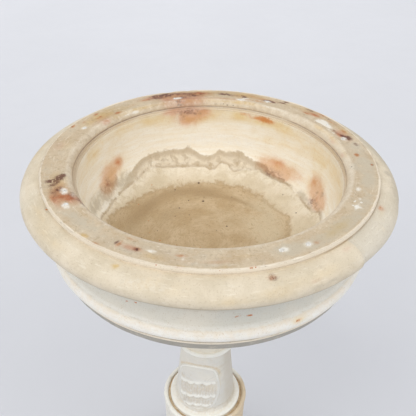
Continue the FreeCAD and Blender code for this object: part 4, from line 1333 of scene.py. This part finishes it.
def stone_material(name, cool, warm, grime_and_shade, dark_corner_low=0.12, extras=None):
    """Aged marble for the smaller stones: cloudy body, ochre dirt and painted shade in the recesses, pale
    worn edges that are also a painted highlight, and painted shade with dirt on the drum's right side.
    """
    shader = Shader(name)
    step, plus, mask = shader.step, shader.plus, shader.attribute
    cloud = shader.grain(0.09, 5.0, 0.6, 0.4)
    mottle = shader.grain(0.024, 5.0, 0.6, 0.3, shift=3.0)
    fleck = shader.grain(0.006, 4.0, 0.6, shift=5.0)
    grit = shader.grain(0.0020, 3.0, 0.6, shift=8.0)
    rings = shader.grain(0.05, 4.0, 0.6, 0.2, shader.band_place(7.0), 2.0)
    vein = shader.math("SUBTRACT", shader.grain(0.12, 6.0, 0.55, 1.2, shift=9.0), 0.5)
    colour = shader.layers(
        shader.mix(step(cloud, 0.05, 0.95), cool, warm),
        (step(rings, 0.5, 1.1, 0.4), STAINED),
        (step(shader.math("ABSOLUTE", vein), 0.03, 0.0, 0.3), VEIN),
    )
    colour = extras(shader, colour, mottle, fleck)
    # edges pale for wear and as a painted highlight
    colour = shader.mix(step(plus(mask("wear_and_highlight"), fleck, 0.3), 0.2, 0.8, 0.75), colour, PALE_WEAR_AND_HIGHLIGHT)
    # painted shade with dirt on the drum's right side, then dirt and painted shade in the corners, then
    # grime from noise
    colour = shader.soak(
        colour,
        (shader.stain("shade_and_soil", mottle, 0.6, 0.2, 0.9, 0.9), DRUM_SHADE_AND_SOIL),
        (step(plus(mask("corner_dirt_and_shade"), fleck, 0.25), dark_corner_low, 0.75, 0.85), grime_and_shade),
        (step(mottle, 0.6, 1.2, 0.4), grime_and_shade),
        (step(grit, 0.7, 1.2, 0.3), grime_and_shade),
    )
    bumps = ((shader.times(fleck, 0.3), STONE_BUMP), (grit, GRIT_BUMP))
    return shader.finish(colour, (mottle, *SHEEN), bumps)


def shaft_extras(shader, colour, mottle, fleck):
    """The shaft's shaded right side, cream neck, and weathered shield, with dirt and painted shade in its
    hollows and a painted highlight on its raised parts and border and on the astragal and foot ring.
    """
    step, times, mask = shader.step, shader.times, shader.attribute
    colour = shader.layers(
        colour,
        (shader.stain("shade_side", mottle, 0.6, 0.2, 0.9, 0.8), SHAFT_SHADE),
        (times(mask("neck"), 0.5), NECK_CREAM),
        (step(mask("shield"), 0.1, 0.5, 0.7), SHIELD_GREY),
    )
    # dirt and painted shade in the shield's hollows
    colour = shader.soak(colour, (times(mask("hollow"), step(fleck, 0.0, 0.7, 0.35)), SHAFT_GRIME_AND_SHADE))
    colour = shader.layers(
        colour,
        # painted highlight on the shield's raised parts and along its border
        (times(step(mask("shield"), 0.5, 0.8, 0.9), step(fleck, -0.2, 0.4)), PALE_WEAR_AND_HIGHLIGHT),
        (times(mask("border"), 0.85), PALE_WEAR_AND_HIGHLIGHT),
    )
    colour = shader.soak(colour, (shader.stain("groove", fleck, 0.7, 0.1, 1.0, 0.9), SHIELD_OCHRE))
    # painted highlight on the astragal and the foot ring
    colour = shader.mix(times(mask("bright"), 0.9), colour, PALE_WEAR_AND_HIGHLIGHT)
    return shader.soak(colour, (shader.stain("rust", fleck, 0.8, 0.4, 1.0, 0.9), RUST))


# =====================================================================================================
# The base
# =====================================================================================================
def plain_carving(seed, edges):
    """Slight waviness, and chips on each (place, count, sizes) edge."""
    broad = Ripple(seed, 0.07)
    fine = Ripple(seed + 1, 0.016, 12)

    def carve(azimuth, radius, height):
        depth = 0.0004 * (1 + broad(azimuth, radius, height))
        depth += 0.00012 * (1 + fine(azimuth, radius, height))
        for i, edge in enumerate(edges):
            depth += chips(azimuth, radius, height, *edge, seed + 2 + i)
        return depth

    return carve


def make_plinth():
    """The square slab: a fine grid over each face, its edges worn round and knocked."""
    half, low, high = PLINTH_HIGH.x, PLINTH_LOW.z, PLINTH_HIGH.z
    mesh = bmesh.new()
    bmesh.ops.create_cube(mesh, size=1.0)
    for vertex in mesh.verts:
        x, y, z = vertex.co
        vertex.co = Vector((x * 2 * half, y * 2 * half, low + (z + 0.5) * (high - low)))
    top_edges = [e for e in mesh.edges if all(v.co.z > high - 1e-6 for v in e.verts)]
    bmesh.ops.bevel(mesh, geom=top_edges, offset=PLINTH_CHAMFER, segments=2, affect="EDGES", profile=0.6)
    side_edges = [e for e in mesh.edges if abs(e.verts[0].co.z - e.verts[1].co.z) > 0.05]
    bmesh.ops.bevel(mesh, geom=side_edges, offset=0.002, segments=2, affect="EDGES", profile=0.6)
    bmesh.ops.triangulate(mesh, faces=mesh.faces)
    for _ in range(6):
        long_edges = [e for e in mesh.edges if e.calc_length() > PLINTH_MESH]
        if not long_edges:
            break
        bmesh.ops.subdivide_edges(mesh, edges=long_edges, cuts=1)
        bmesh.ops.triangulate(mesh, faces=[f for f in mesh.faces if len(f.verts) > 3])
    broad, fine = Ripple(SEED + 40, 0.08), Ripple(SEED + 41, 0.014, 12)
    random = np.random.default_rng(SEED + 42)
    places = np.array([v.co for v in mesh.verts])
    x, y, height = places.T
    azimuth, radius = np.arctan2(y, x), np.hypot(x, y)
    depth = 0.0003 * (1 + broad(azimuth, radius, height)) + 0.00015 * (1 + fine(azimuth, radius, height))
    side = np.maximum(np.abs(x), np.abs(y))
    edge_gap = np.hypot(np.clip(half - side, 0, None), np.clip(high - height, 0, None))
    for _ in range(PLINTH_KNOCKS):
        along, face = random.uniform(-half, half), random.integers(4)
        size = random.uniform(0.003, 0.011)
        spot = ((half, along), (-half, along), (along, half), (along, -half))[face]
        gap = np.sqrt((x - spot[0]) ** 2 + (y - spot[1]) ** 2 + (height - high) ** 2)
        depth = np.maximum(depth, 0.45 * size * smooth(size, size * 0.3, gap))
    middle = np.array([0.0, 0.0, (low + high) / 2])
    for vertex, place, cut in zip(mesh.verts, places, depth):
        if place[2] < low + 0.001:
            continue
        inward = Vector(middle - place)
        inward.z *= 3.0
        vertex.co = Vector(place) + inward.normalized() * cut
    out = bpy.data.meshes.new("plinth_slab")
    mesh.to_mesh(out)
    mesh.free()
    out.polygons.foreach_set("use_smooth", [True] * len(out.polygons))
    slab = add("plinth_slab", out)
    # pale edges for wear and as a painted highlight, and dirt with painted shade round the foot of the base
    paint(slab, "wear_and_highlight", smooth(0.010, 0.001, edge_gap))
    paint(slab, "corner_dirt_and_shade", smooth(BASE_HIGH.x + 0.014, BASE_HIGH.x - 0.004, radius) * (height > high - 0.002))
    paint(slab, "along", height + radius * 0.5)
    return slab


def base_extras(shader, colour, mottle, fleck):
    """Dirt splashed up from the floor, and a few ochre stains."""
    rise = shader.node("SeparateXYZ", ((0, shader.place),)).outputs["Z"]
    stain = shader.step(shader.grain(0.11, 4.0, 0.6, 0.6, shift=12.0), 0.65, 1.05, 0.5)
    splash = shader.step(shader.plus(rise, mottle, 0.05), 0.05, 0.0, 0.75)
    return shader.soak(colour, (splash, SPLASH), (stain, OCHRE))


# =====================================================================================================
# Small pieces: mortar, plugs, iron stubs, lime
# =====================================================================================================
def lump(place, sizes, seed, rings=10, columns=24, rough=0.18):
    """A closed lumpy button, flat underneath, at place with half sizes (outward, along the rim, height)."""
    phase = np.random.default_rng(seed).uniform(0, 2 * math.pi, 4)
    turns = even_turns(columns)
    wave = 0.5 * np.sin(2 * turns + phase[0]) + 0.35 * np.sin(3 * turns + phase[1])
    edge = (1 + rough * wave + rough * 0.4 * np.sin(5 * turns + phase[2])) / (1 + rough)
    top = (1 + 0.25 * rough * np.sin(4 * turns + phase[3])) / (1 + 0.25 * rough)
    shape = []
    for ring in range(1, rings + 1):
        share = ring / rings
        rise = math.sqrt(max(0.0, 1 - share**2.6)) * top
        shape.append(np.stack([share * edge * np.cos(turns), share * edge * np.sin(turns), rise], axis=-1))
    foot_ring = shape[-1] * (1, 1, 0) - (0, 0, 1)
    out = np.concatenate([*shape, [[0.0, 0.0, 1.0]], foot_ring]) * sizes

    rim, crown = (rings - 1) * columns, rings * columns
    foot = crown + 1
    starts = [(row, row + columns) for row in range(0, rim, columns)]
    faces = []
    for column in range(columns):
        after = (column + 1) % columns
        faces += [(low + column, high + column, high + after, low + after) for low, high in starts]
        faces.append((crown, column, after))
        faces.append((rim + column, foot + column, foot + after, rim + after))
    faces.append(tuple(foot + column for column in reversed(range(columns))))

    turn = math.atan2(place[1], place[0])
    cos, sin = math.cos(turn), math.sin(turn)
    x, y, z = out.T
    return np.stack([x * cos - y * sin, x * sin + y * cos, z], axis=-1) + np.array(place), faces


def join_lumps(name, parts):
    vertices, faces = [], []
    for part_vertices, part_faces in parts:
        start = len(vertices)
        vertices += part_vertices.tolist()
        faces += [tuple(start + i for i in face) for face in part_faces]
    return add_smooth(name, vertices, faces)


# Fixing holes in the rim: (azimuth degrees, radius mm), and which of them keep a rusty iron stub.
PLUGS = (
    (-155, 243), (-147, 252), (156, 248), (107, 243), (76, 241),
    (64, 253), (32, 253), (19, 247), (-58, 258), (-67, 253),
)
IRON_PLUGS = (0, 3, 4, 5, 7)
# Lime in chips of the rim: (azimuth degrees, radius mm, half length along the rim, half width across it).
LIME_PATCHES = ((37, 254, 9, 6), (25, 242, 6, 4), (-28.5, 253, 12, 9))
LIME_LUMPS = 9
CAP_SIZES = (0.0048, 0.0046, 0.0013)
STUB_SIZES = (0.0021, 0.0021, 0.0008)


def make_rim_fixings():
    """White caps on the fixing holes, iron stubs in some of them, and lumps of lime in the chips."""
    top = RIM_Z - 0.0001
    plugs, stubs, limes = [], [], []
    for i, place in enumerate(PLUGS):
        plugs.append(lump(on_ring(*place, top - CAP_SIZES[2]), CAP_SIZES, SEED + i))
        if i in IRON_PLUGS:
            stubs.append(lump(on_ring(*place, top - STUB_SIZES[2]), STUB_SIZES, SEED + 50 + i))
    for i, (azimuth, radius, along, across) in enumerate(LIME_PATCHES):
        random = np.random.default_rng(SEED + 70 + i)
        for _ in range(LIME_LUMPS):
            turn = azimuth + random.uniform(-0.7, 0.7) * math.degrees(along / radius)
            out = radius + random.uniform(-0.7, 0.7) * across
            size = random.uniform(0.16, 0.34) * across / 1000
            sizes = (size, size * 1.2, CAP_SIZES[2] * random.uniform(0.55, 1))
            limes.append(lump(on_ring(turn, out, top - CAP_SIZES[2]), sizes, SEED + 80 + len(limes)))
    caps = join_lumps("rim_plug_caps", plugs)
    return caps, join_lumps("iron_stub_ends", stubs), join_lumps("lime_crust", limes)


def plain_material(name, light, dark, size, rough, metal=0.0, bump=0.0004, stain=None):
    shader = Shader(name)
    mottle = shader.grain(size, 5.0, 0.6, 0.4)
    grit = shader.grain(size / 8, 3.0, 0.6, shift=3.0)
    colour = shader.mix(shader.step(mottle, 0.1, 0.9), light, dark)
    colour = shader.mix(shader.step(grit, 0.6, 1.1, 0.5), colour, stain or dark)
    shader.surface.inputs["Metallic"].default_value = metal
    return shader.finish(colour, (grit, 0.25, rough), ((mottle, bump), (grit, bump / 4)))


# =====================================================================================================
# Studio
# =====================================================================================================
FLOOR_HALF = 14.0
FLOOR_COLOURS = ((212, 213, 218), (210, 211, 216))
SKY = (0.95, 0.97, 1.0, 1.0)
SKY_STRENGTH = 0.52
KEY_COLOUR = (1.0, 0.99, 0.97)
WHITE = (1.0, 1.0, 1.0)
# Soft suns: name, azimuth and elevation in degrees, strength, width in degrees and colour.
SUNS = (
    ("key", -128, 47, 1.08, 45, KEY_COLOUR),
    ("fill", -52, 45, 0.76, 55, WHITE),
    ("left", 180, 35, 0.30, 60, WHITE),
    ("right", 0, 35, 0.31, 60, WHITE),
    ("back", 95, 65, 0.1, 60, WHITE),
)
LAMP_PLACE = (-0.6, 5.5, 4.0)
LAMP_SIZE = 4.0
LAMP_WATTS = 36.0


def aim(holder, direction, roll=0.0):
    """Turns a camera or a light to look along direction."""
    turned = Quaternion((0, 0, 1), math.radians(roll))
    holder.rotation_mode = "QUATERNION"
    holder.rotation_quaternion = direction.to_track_quat("-Z", "Y") @ turned


def make_camera():
    camera = bpy.data.cameras.new("camera")
    camera.lens = CAMERA_LENS
    camera.sensor_width = SENSOR
    holder = add("camera", camera)
    down, pan = math.radians(CAMERA_DOWN), math.radians(CAMERA_PAN)
    holder.location = (0.0, -CAMERA_BACK, MOUTH_Z + CAMERA_RISE)
    look = Vector((-math.sin(pan) * math.cos(down), math.cos(pan) * math.cos(down), -math.sin(down)))
    aim(holder, look, CAMERA_ROLL)
    bpy.context.scene.camera = holder


def make_sun(name, azimuth, elevation, strength, width, colour):
    light = bpy.data.lights.new(name, "SUN")
    light.energy = strength
    light.angle = math.radians(width)
    light.color = colour
    turn, up = math.radians(azimuth), math.radians(elevation)
    source = Vector((math.cos(turn) * math.cos(up), math.sin(turn) * math.cos(up), math.sin(up)))
    aim(add(name, light), -source)


def make_studio():
    """The sky, the suns, a lamp over the floor behind the font, and the floor."""
    world = bpy.data.worlds.new("studio")
    bpy.context.scene.world = world
    world.use_nodes = True
    sky = world.node_tree.nodes["Background"]
    sky.inputs["Color"].default_value = SKY
    sky.inputs["Strength"].default_value = SKY_STRENGTH
    for settings in SUNS:
        make_sun(*settings)
    lamp = bpy.data.lights.new("backdrop", "AREA")
    lamp.shape = "DISK"
    lamp.size = LAMP_SIZE
    lamp.energy = LAMP_WATTS
    holder = add("backdrop", lamp)
    holder.location = LAMP_PLACE
    aim(holder, Vector((0.0, 0.0, -1.0)))
    mesh = bpy.data.meshes.new("floor")
    corners = [(x * FLOOR_HALF, y * FLOOR_HALF, 0) for x, y in ((-1, -1), (1, -1), (1, 1), (-1, 1))]
    mesh.from_pydata(corners, [], [(0, 1, 2, 3)])
    mesh.materials.append(plain_material("floor", *FLOOR_COLOURS, 0.9, 0.6, bump=0.00001))
    add("floor", mesh)


# =====================================================================================================
# Build
# =====================================================================================================
SHAFT_COLOURS = ((218, 216, 210), (230, 225, 213), SHAFT_GRIME_AND_SHADE)
DRUM_COLOURS = ((232, 229, 220), (240, 235, 222), GROOVE_GRIME_AND_SHADE)
BASE_COLOURS = ((214, 209, 198), (226, 218, 202), GROOVE_GRIME_AND_SHADE)
PLINTH_COLOURS = ((210, 205, 194), (224, 215, 198), GROOVE_GRIME_AND_SHADE)


def dress(piece, material):
    piece.data.materials.clear()
    piece.data.materials.append(material)


def put(piece, material, node):
    """Gives a piece its material, hangs it on the root body and hides the CAD node that it stands for."""
    dress(piece, material)
    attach(piece, "root")
    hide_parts(node)


def build_stones():
    turns = even_turns(BASIN_COLUMNS)
    basin = Stone("basin_stone", basin_outline(), turns, basin_carving(), mouth_widening)
    paint_basin(basin)
    put(basin.piece, basin_material(), "basin")

    shaft = Stone("shaft_stone", shaft_outline(), shaft_turns(), shaft_carving())
    paint_shaft(shaft)
    put(shaft.piece, stone_material("shaft_marble", *SHAFT_COLOURS, 0.12, shaft_extras), "shaft")

    edges = (
        ((LIP_R, DRUM_HIGH.z - 0.004), 16, (0.0015, 0.005)),
        ((DRUM_HIGH.x, DRUM_LOW.z + BAND_H), 14, (0.002, 0.006)),
    )
    drum = Stone("drum_stone", drum_outline(), even_turns(DRUM_COLUMNS), plain_carving(SEED + 30, edges))
    turn = np.degrees(drum.azimuth) % 360
    # painted shade with dirt on the drum's right side
    drum.paint("shade_and_soil", smooth(290, 325, turn) + smooth(50, 10, turn))
    put(drum.piece, stone_material("drum_marble", *DRUM_COLOURS, 0.05, base_extras), "base_drum")

    edges = (
        ((BASE_BAND_R, BASE_HIGH.z), 14, (0.002, 0.006)),
        ((BASE_FILLET_R, BASE_LOW.z + BASE_TORUS_H + BASE_FILLET_H), 16, (0.002, 0.006)),
        ((BASE_HIGH.x, BASE_LOW.z + BASE_TORUS_H / 2), 10, (0.004, 0.010)),
    )
    base = Stone("base_stone", base_outline(), even_turns(BASE_COLUMNS), plain_carving(SEED + 35, edges))
    put(base.piece, stone_material("base_marble", *BASE_COLOURS, 0.05, base_extras), "base_torus")

    plinth_material = stone_material("plinth_marble", *PLINTH_COLOURS, 0.1, base_extras)
    put(make_plinth(), plinth_material, "plinth")


def build_small_pieces():
    # each material: light and dark colour, grain size, roughness, metal, bump and the colour of its specks
    bedding = ((218, 196, 164), (186, 156, 118), 0.010, 0.7, 0.0, 0.0012, (156, 124, 88))
    mortar = plain_material("lime_mortar", *bedding)
    lead = plain_material("grey_lead", (128, 130, 132), (92, 94, 98), 0.02, 0.45, 0.6)
    iron = plain_material("rusty_iron", (112, 62, 38), (66, 38, 28), 0.004, 0.7, 0.2, 0.0006)
    filling = ((238, 236, 230), (206, 200, 190), 0.004, 0.6, 0.0, 0.0005, (170, 160, 148))
    lime = ((240, 236, 226), (220, 210, 192), 0.006, 0.75, 0.0, 0.0008, (196, 180, 154))
    plugs, stubs, limes = make_rim_fixings()
    put(plugs, plain_material("plug_filling", *filling), "rim_plugs")
    put(stubs, iron, "rim_iron_stubs")
    put(limes, plain_material("lime_putty", *lime), "rim_lime_fills")
    joints = ("basin", "shaft", "drum", "plinth")
    hidden = {"socket_fill": mortar, "basin_bed": mortar, "drum_bed": mortar, "plinth_bed": mortar}
    hidden.update({joint + "_dowel": iron for joint in joints})
    hidden.update({joint + "_dowel_lead": lead for joint in joints})
    for node, material in hidden.items():
        dress(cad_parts[node], material)


make_camera()
make_studio()
build_stones()
build_small_pieces()
bpy.context.scene.view_settings.view_transform = "Standard"
